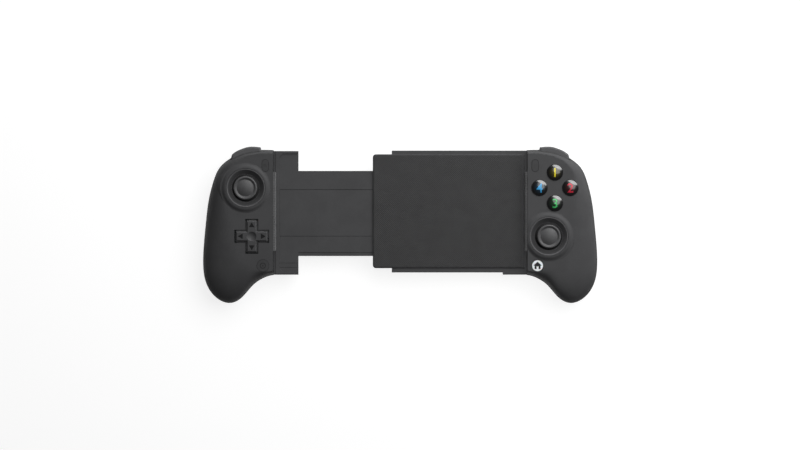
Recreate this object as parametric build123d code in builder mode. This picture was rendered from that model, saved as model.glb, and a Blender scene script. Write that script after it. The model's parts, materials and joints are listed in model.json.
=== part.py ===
from build123d import *
import math
import os

# A telescopic game controller for a telephone, lying on its back with its face up.
# +X points to the right grip, +Y to the shoulder buttons and +Z out of the face.
# The origin is under the middle of the drawn-out controller, on the surface it lies on.
# All values are in millimetres and degrees.

os.makedirs("parts", exist_ok=True)

# Longest telephone, and the bridge between the grips
phone_length = 167.6
clamp_proud = 1.7
frame_length = 91.2
frame_end_wall = 2.0
plate_overhang = 12.8
tray_length = 16.6
tray_strip = 4.0
shut_gap = 1.0
stop_gap = 0.4
inner_wall = phone_length / 2 + clamp_proud
frame_left = inner_wall - frame_length
plate_left = frame_left - plate_overhang
tray_right = tray_length - inner_wall
travel = plate_left - (tray_strip - inner_wall) - shut_gap
slide_right = inner_wall - frame_end_wall - travel - stop_gap

# Heights above the surface
parting_z = 19.0
face_z = 31.0
frame_bottom_z = 9.0
frame_floor = 2.2
frame_top_z = 18.1
plate_thickness = 1.6
pad_thickness = 0.8
slide_bottom_z = 11.5
slide_top_z = 17.5
tray_rim_z = 19.0
board_top_z = 13.0
board_thickness = 1.6
pivot_z = 19.0
plate_top_z = frame_top_z + plate_thickness
board_bottom_z = board_top_z - board_thickness

# Grip housings
grip_width = 47.5
grip_height = 103.2
grip_foot_y = -53.0
grip_wall = 2.2
crown_cover = 1.7
parting_step = 0.45
face_power = 2.0
back_power = 2.2
running_gap = 0.05

# Grip outline, from the top of the inner wall to its foot, as shares of the grip's width and height
outline_shares = (
    (0.0, 1.0), (0.248, 1.0), (0.46, 0.981), (0.62, 0.944), (0.773, 0.881), (0.851, 0.801),
    (0.922, 0.671), (0.964, 0.514), (0.994, 0.357), (1.0, 0.252), (0.949, 0.121), (0.752, 0.016),
    (0.617, 0.0), (0.509, 0.016), (0.282, 0.121), (0.137, 0.165), (0.0, 0.183),
)
face_core_shares = (
    (0.0, 0.976), (0.235, 0.97), (0.43, 0.945), (0.57, 0.9), (0.645, 0.835), (0.67, 0.755),
    (0.665, 0.655), (0.62, 0.565), (0.565, 0.49), (0.52, 0.425), (0.475, 0.365), (0.425, 0.315),
    (0.375, 0.28), (0.32, 0.25), (0.235, 0.222), (0.14, 0.21), (0.0, 0.216),
)
back_core_shares = (
    (0.0, 0.833), (0.2, 0.824), (0.368, 0.795), (0.484, 0.756), (0.547, 0.712), (0.589, 0.659),
    (0.632, 0.581), (0.663, 0.484), (0.695, 0.368), (0.705, 0.286), (0.684, 0.203), (0.621, 0.14),
    (0.547, 0.126), (0.474, 0.14), (0.295, 0.199), (0.147, 0.233), (0.0, 0.247),
)
wall_overrun = 2.0
roll_shares = (0.0, 0.06, 0.18, 0.4, 0.7, 1.0)
boss_shares = ((0.642, 0.845), (0.842, 0.32), (0.568, 0.0872), (0.109, 0.61))
standoff_shares = ((0.2, 0.76), (0.55, 0.2), (0.2, 0.28))


# Round face buttons
button_spacing = 10.35
button_radius = 5.3
button_gap = 0.15
button_edge_z = 32.0
button_bevel = 0.4
button_top_z = 33.8
button_flange_radius = 6.3
button_flange_z = 25.8
button_flange_thickness = 1.2
button_plunger_radius = 2.4
button_wall_gap = 1.55
collar_wall = 1.4
flange_gap = 0.2
membrane_sheet = 0.8
membrane_margin = 0.4
membrane_skin = 0.6
dome_height = 2.8
dome_foot = 3.6
dome_top = 2.6
dome_gap = 0.3

# Thumbstick wells and their rings
ring_radius = 12.9
ring_gap = 0.2
ring_seat_z = 29.0
ring_inner_radius = 9.7
ring_inner_z = 29.9
ring_slope_radius = 12.1
ring_slope_z = 31.2
ring_lip_radius = 12.4
ring_top_z = 32.1
well_bottom_z = 27.0
well_wall = 1.4
stick_hole_radius = 9.2
swelling_top_radius = 13.4
swelling_foot_radius = 17.2
swelling_rise = 1.3
swelling_sink = 0.03
swelling_skirt_radius = 20.2
swelling_skirt = 4.0

# Thumbstick caps, stems, yokes and modules
cap_neck_radius = 3.6
cap_neck_foot_z = 31.6
cap_neck_top_z = 34.4
cap_base_radius = 7.0
cap_base_z = 35.6
cap_radius = 7.8
cap_side_z = 36.5
cap_edge_z = 37.4
cap_rim_z = 38.0
cap_rim_radius = 7.2
cap_rim_inner = 6.9
cap_groove_radius = 5.7
cap_groove_z = 36.9
cap_crown_z = 38.3
cap_bore_z = 36.5
stick_press = 0.4
stem_radius = 2.0
stem_foot_z = 14.9
dome_radius = 11.9
dome_thickness = 0.9
dome_edge_angle = 63.0
stem_pin_radius = 0.8
stem_pin_length = 7.2
yoke_length = 8.6
yoke_width = 7.6
yoke_window_length = 5.6
yoke_window_width = 5.0
yoke_height = 3.0
trunnion_radius = 1.2
trunnion_reach = 6.6
module_size = 14.0
module_wall = 1.2
module_floor = 1.0
module_top_z = 22.0
sensor_width = 8.0
sensor_depth = 3.6
sensor_top_z = 19.6

# Direction pad
dpad_span = 21.4
dpad_arm = 6.8
dpad_gap = 0.95
dpad_top_z = 32.6
dpad_edge = 0.8
dpad_flange_radius = 11.2
dpad_flange_z = 25.2
dpad_flange_thickness = 1.0
dpad_dimple_radius = 3.2
dpad_dimple_depth = 1.2
dpad_arrow_radius = 2.2
dpad_arrow_place = 7.2
dpad_arrow_depth = 0.45
dpad_plunger_radius = 1.5
dpad_plunger_place = 8.2
dpad_dome_foot = 2.9
dpad_dome_top = 1.9
dpad_membrane_margin = 0.25
dpad_hub_radius = 3.4
dpad_hub_foot_z = 24.4
dpad_ball_z = 25.3
dpad_ball_radius = 1.8
dpad_post_radius = 2.4
dpad_post_top_z = 23.9

# Small flush buttons and the switches under them
pill_length = 8.0
pill_width = 4.4
round_radius = 4.0
small_gap = 0.15
small_top_z = 31.3
small_flange = 0.35
small_flange_z = 27.6
small_flange_thickness = 1.0
small_stem_radius = 1.5
switch_size = 4.0
switch_height = 3.4
switch_plunger_radius = 0.9
switch_plunger_height = 0.5
switch_gap = 0.6

# Bumpers, drawn in plan as shares of their own width and depth
bumper_share = 0.9157
bumper_inset = 7.8
bumper_x = inner_wall + bumper_inset
bumper_y = grip_foot_y + grip_height * bumper_share
bumper_width = 20.8
bumper_depth = 10.9
bumper_bottom_z = 21.0
bumper_top_z = 26.0
bumper_edge = 1.0
bumper_gap = 0.35
bumper_pivot_inset = 2.3
bumper_pivot_rise = 2.8
bumper_pivot_x = bumper_x + bumper_pivot_inset
bumper_pivot_y = bumper_y + bumper_pivot_rise
bumper_pin_radius = 1.0
bumper_pin_reach = 1.1
bumper_turn = 3.0
bumper_shares = (
    (0.0, 0.69), (0.04, 0.965), (0.22, 1.0), (0.45, 0.98),
    (0.625, 0.88), (0.8, 0.735), (0.96, 0.52), (1.0, 0.275),
)
bumper_back_shares = ((0.95, 0.0), (0.45, 0.2), (0.25, 0.12), (0.0, 0.12))

# Triggers, drawn from the side as a finger hook on a hub
trigger_inset_x = 10.0
trigger_left = inner_wall + trigger_inset_x
trigger_width = 15.5
trigger_gap = 0.4
trigger_pivot_drop = 1.3
trigger_pivot_y = bumper_pivot_y - trigger_pivot_drop
trigger_pivot_z = 16.0
trigger_top_reach = 5.6
trigger_top_z = 18.3
trigger_waist_reach = 4.0
trigger_waist_z = 10.4
trigger_tip_reach = 9.0
trigger_tip_z = 3.2
trigger_lip_reach = 7.4
trigger_lip_z = 2.6
trigger_inside_reach = 2.2
trigger_inside_z = 9.0
trigger_hub_radius = 2.2
trigger_pin_radius = 0.8
trigger_pin_reach = 0.9
trigger_inset = 0.4
trigger_hub_depth = 4.0
pocket_depth = 2.6
pocket_y = trigger_pivot_y - pocket_depth
pocket_wall = 1.4

# Where the controls sit on the right grip; the left grip mirrors them.
# The upper ones clear the trigger's pocket, and the lower ones clear the upper ones.
membrane_room = 0.15
control_gap = 3.33
pill_share = 0.8963
round_share = 0.2452
pill_inset = 5.2
round_inset = 6.8
control_reach = ring_radius + button_flange_radius + control_gap
upper_x = inner_wall + button_wall_gap + flange_gap + button_flange_radius + button_spacing
lower_x = inner_wall + ring_radius + well_wall
upper_y = pocket_y - pocket_wall - membrane_room - membrane_margin - dome_foot - button_spacing
lower_y = upper_y - button_spacing - math.sqrt(control_reach ** 2 - (upper_x - lower_x) ** 2)
pill_x = inner_wall + pill_inset
round_x = inner_wall + round_inset
pill_y = grip_foot_y + grip_height * pill_share
round_y = grip_foot_y + grip_height * round_share

# Back buttons, flush ovals in the floor of each grip
back_button_inset = 11.5
back_button_share = 0.4554
back_button_x = inner_wall + back_button_inset
back_button_y = grip_foot_y + grip_height * back_button_share
back_button_length = 22.0
back_button_width = 8.0
back_button_bottom_z = 0.6
back_button_flange = 0.8
back_button_flange_thickness = 1.2
back_button_gap = 0.2
back_button_stem_z = 7.4
back_switch_height = 3.2

# Screws
screw_radius = 1.0
screw_head_radius = 2.0
screw_head_height = 1.6
screw_seat_z = 10.5
screw_tip_z = 24.0
screw_hole_rest = 1.0
screw_hole_gap = 0.15
screw_bite_gap = 0.05
screw_well_gap = 0.4
screw_recess_width = 0.6
screw_recess_length = 2.6
screw_recess_depth = 0.8
post_radius = 3.3
boss_radius = 2.8

# Frame, sliding plate and telephone plate, placed by shares of the grips' height
frame_top_share = 0.9971
frame_foot_share = 0.1996
foot_share = 0.1851
tray_top_share = 0.9942
slide_top_share = 0.8643
slide_foot_share = 0.3072
frame_top_y = grip_foot_y + grip_height * frame_top_share
frame_foot_y = grip_foot_y + grip_height * frame_foot_share
ledge_length = 16.1
ledge_foot_y = grip_foot_y + grip_height * foot_share
slide_top_y = grip_foot_y + grip_height * slide_top_share
slide_foot_y = grip_foot_y + grip_height * slide_foot_share
slide_gap = 0.3
rail_width = 2.5
rail_depth = 0.8
wall_groove_width = 1.4
wall_groove_depth = 1.2
tray_edge = 0.5
tray_line_rise = 4.5
tray_line_pitch = 3.0
tray_line_width = 0.4
tray_line_depth = 0.25
tray_top_y = grip_foot_y + grip_height * tray_top_share
tray_foot_y = ledge_foot_y
tray_rim = 1.75
tray_corner = 2.4
cover_top_inset = 12.9
cover_foot_inset = 13.5
cover_top_y = slide_top_y - cover_top_inset
cover_foot_y = slide_foot_y + cover_foot_inset
cover_thickness = 1.5
cover_line = 0.35
cover_end = 1.0
tongue_reach = 6.0
tongue_thickness = 1.9
tongue_inset = 2.25
tongue_top_y = slide_top_y - tongue_inset
tongue_foot_y = slide_foot_y + tongue_inset
tongue_gap = 0.1
spring_radius = 2.0
spring_bore = 1.4
spring_gap = 0.25
spring_z = 14.5
spring_inset = 6.75
spring_start = 8.9
spring_top_y = slide_top_y - spring_inset
spring_foot_y = slide_foot_y + spring_inset
spring_left = tray_right + spring_start
plate_top_inset = 2.5
plate_foot_inset = 2.9
plate_top_y = frame_top_y - plate_top_inset
plate_foot_y = frame_foot_y + plate_foot_inset
plate_corner = 2.2
plate_margin = 0.9
plate_edge = 0.4
pad_end_gap = 1.6
clamp_top_share = 0.8566
clamp_foot_share = 0.3401
clamp_lift = 0.1
clamp_top_y = grip_foot_y + grip_height * clamp_top_share
clamp_foot_y = grip_foot_y + grip_height * clamp_foot_share
clamp_bottom_z = plate_top_z + pad_thickness + clamp_lift
clamp_top_z = 28.4
clamp_sunk = 0.8
clamp_edge = 0.5
bridge_screw_edge = 5.4
bridge_screw_foot = 4.3
bridge_screw_start = 9.7
bridge_screw_top_y = plate_top_y - bridge_screw_edge
bridge_screw_foot_y = plate_foot_y + bridge_screw_foot
bridge_screw_first_x = frame_left + bridge_screw_start
bridge_screw_pitch = 34.0
bridge_screw_columns = 3
bridge_screw_tip_z = 12.5
bridge_screw_sink = 0.2

# Charging socket in the ledge
usb_inset = 8.1
usb_x = inner_wall - usb_inset
usb_z = 14.0
usb_width = 8.9
usb_height = 3.3
usb_wall = 0.35
usb_depth = 6.6
usb_back = 0.8
usb_tongue_width = 6.2
usb_tongue_height = 0.7
usb_tongue_sunk = 1.0
usb_gap = 0.1
usb_sunk = 0.3

# Battery and circuit boards
battery_width = 17.4
battery_length = 38.0
battery_height = 5.4
battery_inset = 25.9
battery_share = 0.407
battery_x = inner_wall + battery_inset
battery_y = grip_foot_y + grip_height * battery_share
battery_edge = 1.5
board_gap = 0.6
board_width = 36.5
board_ear_width = 7.6
board_top_share = 0.8837
board_foot_share = 0.1647
board_ear_share = 0.9244
board_right = inner_wall + board_width
board_top_y = grip_foot_y + grip_height * board_top_share
board_foot_y = grip_foot_y + grip_height * board_foot_share
board_ear_right = inner_wall + board_ear_width
board_ear_top_y = grip_foot_y + grip_height * board_ear_share


def write(part, name):
    """Labels a finished piece and writes it as its own file."""
    part.label = name
    export_step(part, "parts/" + name + ".step")


def grip_points(shares):
    """Shares of the grip turned into points of the right grip."""
    return [(inner_wall + grip_width * u, grip_foot_y + grip_height * v) for u, v in shares]


def inset(points, distance):
    """The open outline moved inwards by a distance, along its own normals."""
    moved = [(points[0][0] + distance, points[0][1] - distance)]
    for before, here, after in zip(points, points[1:], points[2:]):
        dx = after[0] - before[0]
        dy = after[1] - before[1]
        length = math.hypot(dx, dy)
        moved.append((here[0] + distance * dy / length, here[1] - distance * dx / length))
    moved.append((points[-1][0] + distance, points[-1][1] + distance))
    return moved


def rolled(points, core, share):
    """Points part of the way from an outline to its core."""
    return [(x + (cx - x) * share, y + (cy - y) * share) for (x, y), (cx, cy) in zip(points, core)]


def roll_height(share, power):
    """How far up its rounded side the housing is when it has rolled in by a share."""
    return (1 - (1 - share) ** power) ** (1 / power)


def roll_share(height, power):
    """How far the housing has rolled in at a share of its height."""
    return 1 - (1 - height ** power) ** (1 / power)


outline = grip_points(outline_shares)
face_core = grip_points(face_core_shares)
back_core = grip_points(back_core_shares)
front_outline = inset(outline, parting_step)
front_outline[0] = (inner_wall, front_outline[0][1])
front_outline[-1] = (inner_wall, front_outline[-1][1])


def grip_face(side, points):
    """A flat face inside a grip outline, closed by the straight inner wall."""
    sided = [(side * x, y) for x, y in points]
    with BuildSketch() as face:
        with BuildLine():
            Spline(*sided)
            Line(sided[-1], sided[0])
        make_face()
    return face.sketch


def housing(edge, core, far_z, power):
    """The outer form of half a right housing, rounded from the parting plane to its flat far face."""
    rise = far_z - parting_z
    with BuildPart() as body:
        for share in roll_shares:
            points = rolled(edge, core, share)
            with BuildSketch(Plane.XY.offset(parting_z + rise * roll_height(share, power))):
                with BuildLine():
                    Spline(*points)
                    Polyline(
                        points[-1], (inner_wall - wall_overrun, points[-1][1]),
                        (inner_wall - wall_overrun, points[0][1]), points[0],
                    )
                make_face()
        loft()
        split(bisect_by=Plane.YZ.offset(inner_wall), keep=Keep.TOP)
    return body.part


def hollow(side, edge, core, far_z, power, level_z, wall):
    """The face that leaves a wall at a height between the parting plane and the far face."""
    share = roll_share((level_z - parting_z) / (far_z - parting_z), power)
    return grip_face(side, inset(rolled(edge, core, share), wall))


def sided(part, side):
    """A piece of the right grip, or its mirror image for the left one."""
    return part if side > 0 else mirror(part, about=Plane.YZ)


def side_plane(x):
    """A standing plane across X, with its own x along Y and its own y along Z."""
    return Plane(origin=(x, 0, 0), x_dir=(0, 1, 0), z_dir=(1, 0, 0))


def places(side, shares):
    """Points of one grip given as shares of it."""
    return [(side * x, y) for x, y in grip_points(shares)]


def stick_place(side):
    """Where the thumbstick of a grip stands."""
    return (lower_x, lower_y) if side > 0 else (-upper_x, upper_y)


def grown(points, distance):
    """A clockwise closed outline moved outwards by a distance, its corners kept sharp."""
    moved = []
    for before, here, after in zip(points[-1:] + points[:-1], points, points[1:] + points[:1]):
        first = Vector(before[1] - here[1], here[0] - before[0]).normalized()
        second = Vector(here[1] - after[1], after[0] - here[0]).normalized()
        step = (first + second) * (distance / (1 + first.dot(second)))
        moved.append((here[0] + step.X, here[1] + step.Y))
    return moved


def bumper_face(side, gap):
    """A bumper's plan, grown by a gap."""
    shares = bumper_shares + bumper_back_shares
    corners = [(bumper_x + bumper_width * u, bumper_y + bumper_depth * v) for u, v in shares]
    points = [(side * x, y) for x, y in grown(corners, gap)]
    last = len(bumper_shares) - 1
    with BuildSketch() as face:
        with BuildLine():
            Line(points[0], points[1])
            Spline(*points[1:last])
            Polyline(*points[last - 1:], points[0])
        make_face()
    return face.sketch


button_places = {
    "top": (upper_x, upper_y + button_spacing),
    "right": (upper_x + button_spacing, upper_y),
    "bottom": (upper_x, upper_y - button_spacing),
    "left": (upper_x - button_spacing, upper_y),
}
front_housing = housing(front_outline, face_core, face_z, face_power)
back_housing = housing(outline, back_core, 0, back_power)


def cross_sketch(gap):
    """The direction pad's cross in plan, grown by a gap."""
    with BuildSketch() as cross:
        Rectangle(dpad_span + 2 * gap, dpad_arm + 2 * gap)
        Rectangle(dpad_arm + 2 * gap, dpad_span + 2 * gap)
    return cross.sketch


def front_shell(side):
    """The face half of a grip housing, hollow, with the openings for its controls."""
    middle_z = (parting_z + face_z) / 2
    ceiling_z = face_z - grip_wall
    shoulder_z = (middle_z + ceiling_z) / 2
    collar_z = button_flange_z + button_flange_thickness + flange_gap
    stick = stick_place(side)
    with BuildPart() as cavity:
        for level_z in (middle_z, shoulder_z, ceiling_z):
            cover_z = level_z + crown_cover
            with BuildSketch(Plane.XY.offset(parting_z)):
                add(hollow(side, front_outline, face_core, face_z, face_power, level_z, grip_wall))
                add(
                    hollow(side, front_outline, face_core, face_z, face_power, cover_z, parting_step),
                    mode=Mode.INTERSECT,
                )
            extrude(amount=level_z - parting_z)
        # Screw bosses stay solid
        with BuildSketch(Plane.XY.offset(parting_z)):
            with Locations(*places(side, boss_shares)):
                Circle(boss_radius)
        extrude(amount=ceiling_z - parting_z, mode=Mode.SUBTRACT)
        # So does the seat under the thumbstick's ring
        with BuildSketch(Plane.XY.offset(well_bottom_z)):
            with Locations(stick):
                Circle(ring_radius + well_wall)
        extrude(amount=ceiling_z - well_bottom_z, mode=Mode.SUBTRACT)
        # And the collars round the face buttons
        if side > 0:
            with BuildSketch(Plane.XY.offset(collar_z)):
                with Locations(*button_places.values()):
                    Circle(button_radius + button_gap + collar_wall)
            extrude(amount=ceiling_z - collar_z, mode=Mode.SUBTRACT)
    # A low swelling of the face round the thumbstick
    top = (swelling_top_radius, face_z + swelling_rise)
    foot = (swelling_foot_radius, face_z - swelling_sink)
    middle = ((top[0] + foot[0]) / 2, (top[1] + foot[1]) / 2)
    skirt_z = face_z - swelling_skirt
    with BuildPart() as rim:
        with BuildSketch(Plane.XZ):
            with BuildLine():
                TangentArc(top, middle, tangent=(1, 0))
                TangentArc(foot, middle, tangent=(-1, 0))
                Polyline(foot, (swelling_skirt_radius, skirt_z), (0, skirt_z), (0, top[1]), top)
            make_face()
        revolve(axis=Axis.Z)
    collar = Pos(stick[0], stick[1], 0) * rim.part
    with BuildPart() as plan:
        with BuildSketch(Plane.XY.offset(parting_z)):
            add(grip_face(side, front_outline))
        extrude(amount=face_z)
    with BuildPart() as shell:
        add(sided(front_housing, side))
        add(collar & plan.part)
        add(cavity.part, mode=Mode.SUBTRACT)
        # Room for the flanges of the buttons
        with BuildSketch(Plane.XY.offset(parting_z)):
            with Locations((side * pill_x, pill_y)):
                SlotOverall(
                    pill_length + 2 * (small_flange + small_gap),
                    pill_width + 2 * (small_flange + small_gap),
                    rotation=90,
                )
            with Locations((side * round_x, round_y)):
                Circle(round_radius + small_flange + small_gap)
        extrude(amount=ceiling_z - parting_z, mode=Mode.SUBTRACT)
        if side > 0:
            with BuildSketch(Plane.XY.offset(parting_z)):
                with Locations(*button_places.values()):
                    Circle(button_flange_radius + flange_gap)
            extrude(amount=collar_z - parting_z, mode=Mode.SUBTRACT)
        # Thumbstick hole
        with BuildSketch(Plane.XY.offset(ring_seat_z)):
            with Locations(stick):
                Circle(ring_radius + ring_gap)
        extrude(amount=face_z, mode=Mode.SUBTRACT)
        with BuildSketch(Plane.XY.offset(parting_z)):
            with Locations(stick):
                Circle(stick_hole_radius)
            # Small buttons
            with Locations((side * pill_x, pill_y)):
                SlotOverall(pill_length + 2 * small_gap, pill_width + 2 * small_gap, rotation=90)
            with Locations((side * round_x, round_y)):
                Circle(round_radius + small_gap)
            # Face buttons, or the direction pad
            if side > 0:
                with Locations(*button_places.values()):
                    Circle(button_radius + button_gap)
            else:
                with Locations((-lower_x, lower_y)):
                    add(cross_sketch(dpad_gap))
        extrude(amount=face_z, mode=Mode.SUBTRACT)
        # Bumper slot, with room for its swing, and the sockets of its pin
        pivot = Axis((side * bumper_pivot_x, bumper_pivot_y, 0), (0, 0, 1))
        pin_length = bumper_top_z - bumper_bottom_z + 2 * (bumper_pin_reach + running_gap)
        for turn in (0, -side * bumper_turn):
            with BuildSketch(Plane.XY.offset(bumper_bottom_z - bumper_gap)):
                add(bumper_face(side, bumper_gap).rotate(pivot, turn))
            extrude(amount=bumper_top_z - bumper_bottom_z + 2 * bumper_gap, mode=Mode.SUBTRACT)
        with BuildSketch(Plane.XY.offset(bumper_bottom_z - bumper_pin_reach - running_gap)):
            with Locations((side * bumper_pivot_x, bumper_pivot_y)):
                Circle(bumper_pin_radius + running_gap)
        extrude(amount=pin_length, mode=Mode.SUBTRACT)
        # Screw holes
        with BuildSketch(Plane.XY.offset(parting_z)):
            with Locations(*places(side, boss_shares)):
                Circle(screw_radius + screw_bite_gap)
        extrude(amount=screw_tip_z + screw_hole_rest - parting_z, mode=Mode.SUBTRACT)
        # Seat of the clamp pad
        with BuildSketch(side_plane(side * inner_wall)):
            with Locations(((clamp_top_y + clamp_foot_y) / 2, (clamp_top_z + clamp_bottom_z) / 2)):
                Rectangle(clamp_top_y - clamp_foot_y, clamp_top_z - clamp_bottom_z)
        extrude(amount=side * clamp_sunk, mode=Mode.SUBTRACT)
    return shell.part


def back_shell(side):
    """The back half of a grip housing, with the trigger pocket and the posts for screws and board."""
    middle_z = board_bottom_z - board_gap
    pocket_left = trigger_left - trigger_gap
    pocket_width = trigger_width + 2 * trigger_gap
    pocket_x = side * (pocket_left + pocket_width / 2)
    with BuildPart() as cavity:
        for level_z, top_z in ((middle_z, parting_z), (grip_wall, middle_z)):
            with BuildSketch(Plane.XY.offset(level_z)):
                add(hollow(side, outline, back_core, 0, back_power, level_z, grip_wall))
            extrude(amount=top_z - level_z)
        # The block round the trigger pocket, the screw posts and the board's feet stay solid
        with BuildSketch(Plane.XY.offset(grip_wall)):
            with Locations((pocket_x, pocket_y - pocket_wall)):
                Rectangle(pocket_width + 2 * pocket_wall, grip_width, align=(Align.CENTER, Align.MIN))
            with Locations(*places(side, boss_shares)):
                Circle(post_radius)
        extrude(amount=parting_z - grip_wall, mode=Mode.SUBTRACT)
        with BuildSketch(Plane.XY.offset(grip_wall)):
            with Locations(*places(side, standoff_shares)):
                Circle(screw_head_radius)
        extrude(amount=board_bottom_z - grip_wall, mode=Mode.SUBTRACT)
    with BuildPart() as shell:
        add(sided(back_housing, side))
        add(cavity.part, mode=Mode.SUBTRACT)
        # Trigger pocket, open at the back, and the sockets of its pin
        with BuildSketch():
            with Locations((pocket_x, pocket_y)):
                Rectangle(pocket_width, grip_width, align=(Align.CENTER, Align.MIN))
        extrude(amount=parting_z, mode=Mode.SUBTRACT)
        with BuildSketch(side_plane(side * (pocket_left - trigger_pin_reach))):
            with Locations((trigger_pivot_y, trigger_pivot_z)):
                Circle(trigger_pin_radius)
        extrude(amount=side * (pocket_width + 2 * trigger_pin_reach), mode=Mode.SUBTRACT)
        # Screw holes, and wells for their heads
        with BuildSketch():
            with Locations(*places(side, boss_shares)):
                Circle(screw_head_radius + screw_well_gap)
        extrude(amount=screw_seat_z, mode=Mode.SUBTRACT)
        with BuildSketch():
            with Locations(*places(side, boss_shares)):
                Circle(screw_radius + screw_hole_gap)
            # Back button hole
            with Locations((side * back_button_x, back_button_y)):
                SlotOverall(
                    back_button_length + 2 * back_button_gap,
                    back_button_width + 2 * back_button_gap,
                    rotation=90,
                )
        extrude(amount=parting_z, mode=Mode.SUBTRACT)
        # Slot for the bridge's tongue
        with BuildSketch(side_plane(side * inner_wall)):
            with Locations(((tongue_top_y + tongue_foot_y) / 2, frame_bottom_z + tongue_thickness / 2)):
                Rectangle(tongue_top_y - tongue_foot_y + 2 * tongue_gap, tongue_thickness + 2 * tongue_gap)
        extrude(amount=side * (grip_wall + tongue_gap), mode=Mode.SUBTRACT)
    return shell.part


def tongue(side):
    """The flat tongue that ties a half of the bridge to its grip, notched round a screw post."""
    with BuildPart() as piece:
        with BuildSketch(Plane.XY.offset(frame_bottom_z)):
            with Locations((side * inner_wall, (tongue_top_y + tongue_foot_y) / 2)):
                Rectangle(2 * tongue_reach, tongue_top_y - tongue_foot_y)
            with Locations(places(side, boss_shares)[-1]):
                Circle(post_radius + tongue_gap, mode=Mode.SUBTRACT)
        extrude(amount=tongue_thickness)
    return piece.part


def shell_screws(side):
    """The four screws that close a grip from behind."""
    with BuildPart() as screw:
        with BuildSketch(Plane.XY.offset(screw_seat_z)):
            Circle(screw_head_radius)
        extrude(amount=-screw_head_height)
        with BuildSketch(Plane.XY.offset(screw_seat_z)):
            Circle(screw_radius)
        extrude(amount=screw_tip_z - screw_seat_z)
        with BuildSketch(Plane.XY.offset(screw_seat_z - screw_head_height)):
            Rectangle(screw_recess_length, screw_recess_width)
            Rectangle(screw_recess_width, screw_recess_length)
        extrude(amount=screw_recess_depth, mode=Mode.SUBTRACT)
    with BuildPart() as screws:
        with Locations(*[(x, y, 0) for x, y in places(side, boss_shares)]):
            add(screw.part)
    return screws.part


def clamp_pad(side):
    """The rubber strip that grips an end of the telephone."""
    with BuildPart() as pad:
        with BuildSketch(side_plane(side * (inner_wall + clamp_sunk))):
            with Locations(((clamp_top_y + clamp_foot_y) / 2, (clamp_top_z + clamp_bottom_z) / 2)):
                Rectangle(clamp_top_y - clamp_foot_y, clamp_top_z - clamp_bottom_z)
        extrude(amount=-side * (clamp_sunk + clamp_proud))
        inner = pad.faces().sort_by(Axis.X)[0 if side > 0 else -1]
        chamfer(inner.edges(), clamp_edge)
    return pad.part


def board(side):
    """The circuit board of a grip, with the switches under its small buttons."""
    level_z = board_bottom_z - board_gap
    stick = stick_place(side)
    with BuildPart() as piece:
        with BuildSketch(Plane.XY.offset(board_bottom_z)) as plan:
            add(hollow(side, outline, back_core, 0, back_power, level_z, grip_wall + board_gap))
            with BuildSketch(mode=Mode.INTERSECT):
                with Locations((side * inner_wall, board_foot_y)):
                    Rectangle(2 * (board_right - inner_wall), board_top_y - board_foot_y,
                              align=(Align.CENTER, Align.MIN))
                with Locations((side * inner_wall, board_foot_y)):
                    Rectangle(2 * (board_ear_right - inner_wall), board_ear_top_y - board_foot_y,
                              align=(Align.CENTER, Align.MIN))
            with Locations(*places(side, boss_shares)):
                Circle(post_radius + board_gap, mode=Mode.SUBTRACT)
        extrude(amount=board_thickness)
        with BuildSketch(Plane.XY.offset(board_top_z)):
            with Locations((side * pill_x, pill_y), (side * round_x, round_y)):
                Rectangle(switch_size, switch_size)
        extrude(amount=switch_height)
        with BuildSketch(Plane.XY.offset(board_top_z + switch_height)):
            with Locations((side * pill_x, pill_y), (side * round_x, round_y)):
                Circle(switch_plunger_radius)
        extrude(amount=switch_plunger_height)
        with BuildSketch(Plane.XY.offset(board_bottom_z)):
            with Locations((side * back_button_x, back_button_y)):
                Rectangle(switch_size, switch_size)
        extrude(amount=-back_switch_height)
    return piece.part


def stick_module(side):
    """The box that carries a thumbstick's yoke, with the two sensors on its sides."""
    x, y = stick_place(side)
    middle = (x, y)
    with BuildPart() as module:
        with BuildSketch(Plane.XY.offset(board_top_z)):
            with Locations(middle):
                Rectangle(module_size, module_size)
        extrude(amount=module_top_z - board_top_z)
        with BuildSketch(Plane.XY.offset(board_top_z)):
            with Locations((x + side * (module_size + sensor_depth) / 2, y)):
                Rectangle(sensor_depth, sensor_width)
            with Locations((x, y + side * (module_size + sensor_depth) / 2)):
                Rectangle(sensor_width, sensor_depth)
        extrude(amount=sensor_top_z - board_top_z)
        with BuildSketch(Plane.XY.offset(board_top_z + module_floor)):
            with Locations(middle):
                Rectangle(module_size - 2 * module_wall, module_size - 2 * module_wall)
        extrude(amount=module_top_z - board_top_z, mode=Mode.SUBTRACT)
        with BuildSketch(side_plane(x - trunnion_reach - running_gap)):
            with Locations((y, pivot_z)):
                Circle(trunnion_radius + running_gap)
        extrude(amount=2 * (trunnion_reach + running_gap), mode=Mode.SUBTRACT)
    return module.part


def stick_ring(side):
    """The dished ring round a thumbstick."""
    with BuildPart() as ring:
        with BuildSketch(Plane.XZ):
            with BuildLine():
                Polyline(
                    (ring_inner_radius, ring_seat_z), (ring_radius, ring_seat_z),
                    (ring_radius, ring_top_z), (ring_lip_radius, ring_top_z),
                    (ring_slope_radius, ring_slope_z), (ring_inner_radius, ring_inner_z),
                    (ring_inner_radius, ring_seat_z),
                )
            make_face()
        revolve(axis=Axis.Z)
    x, y = stick_place(side)
    return Pos(x, y, 0) * ring.part


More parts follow.
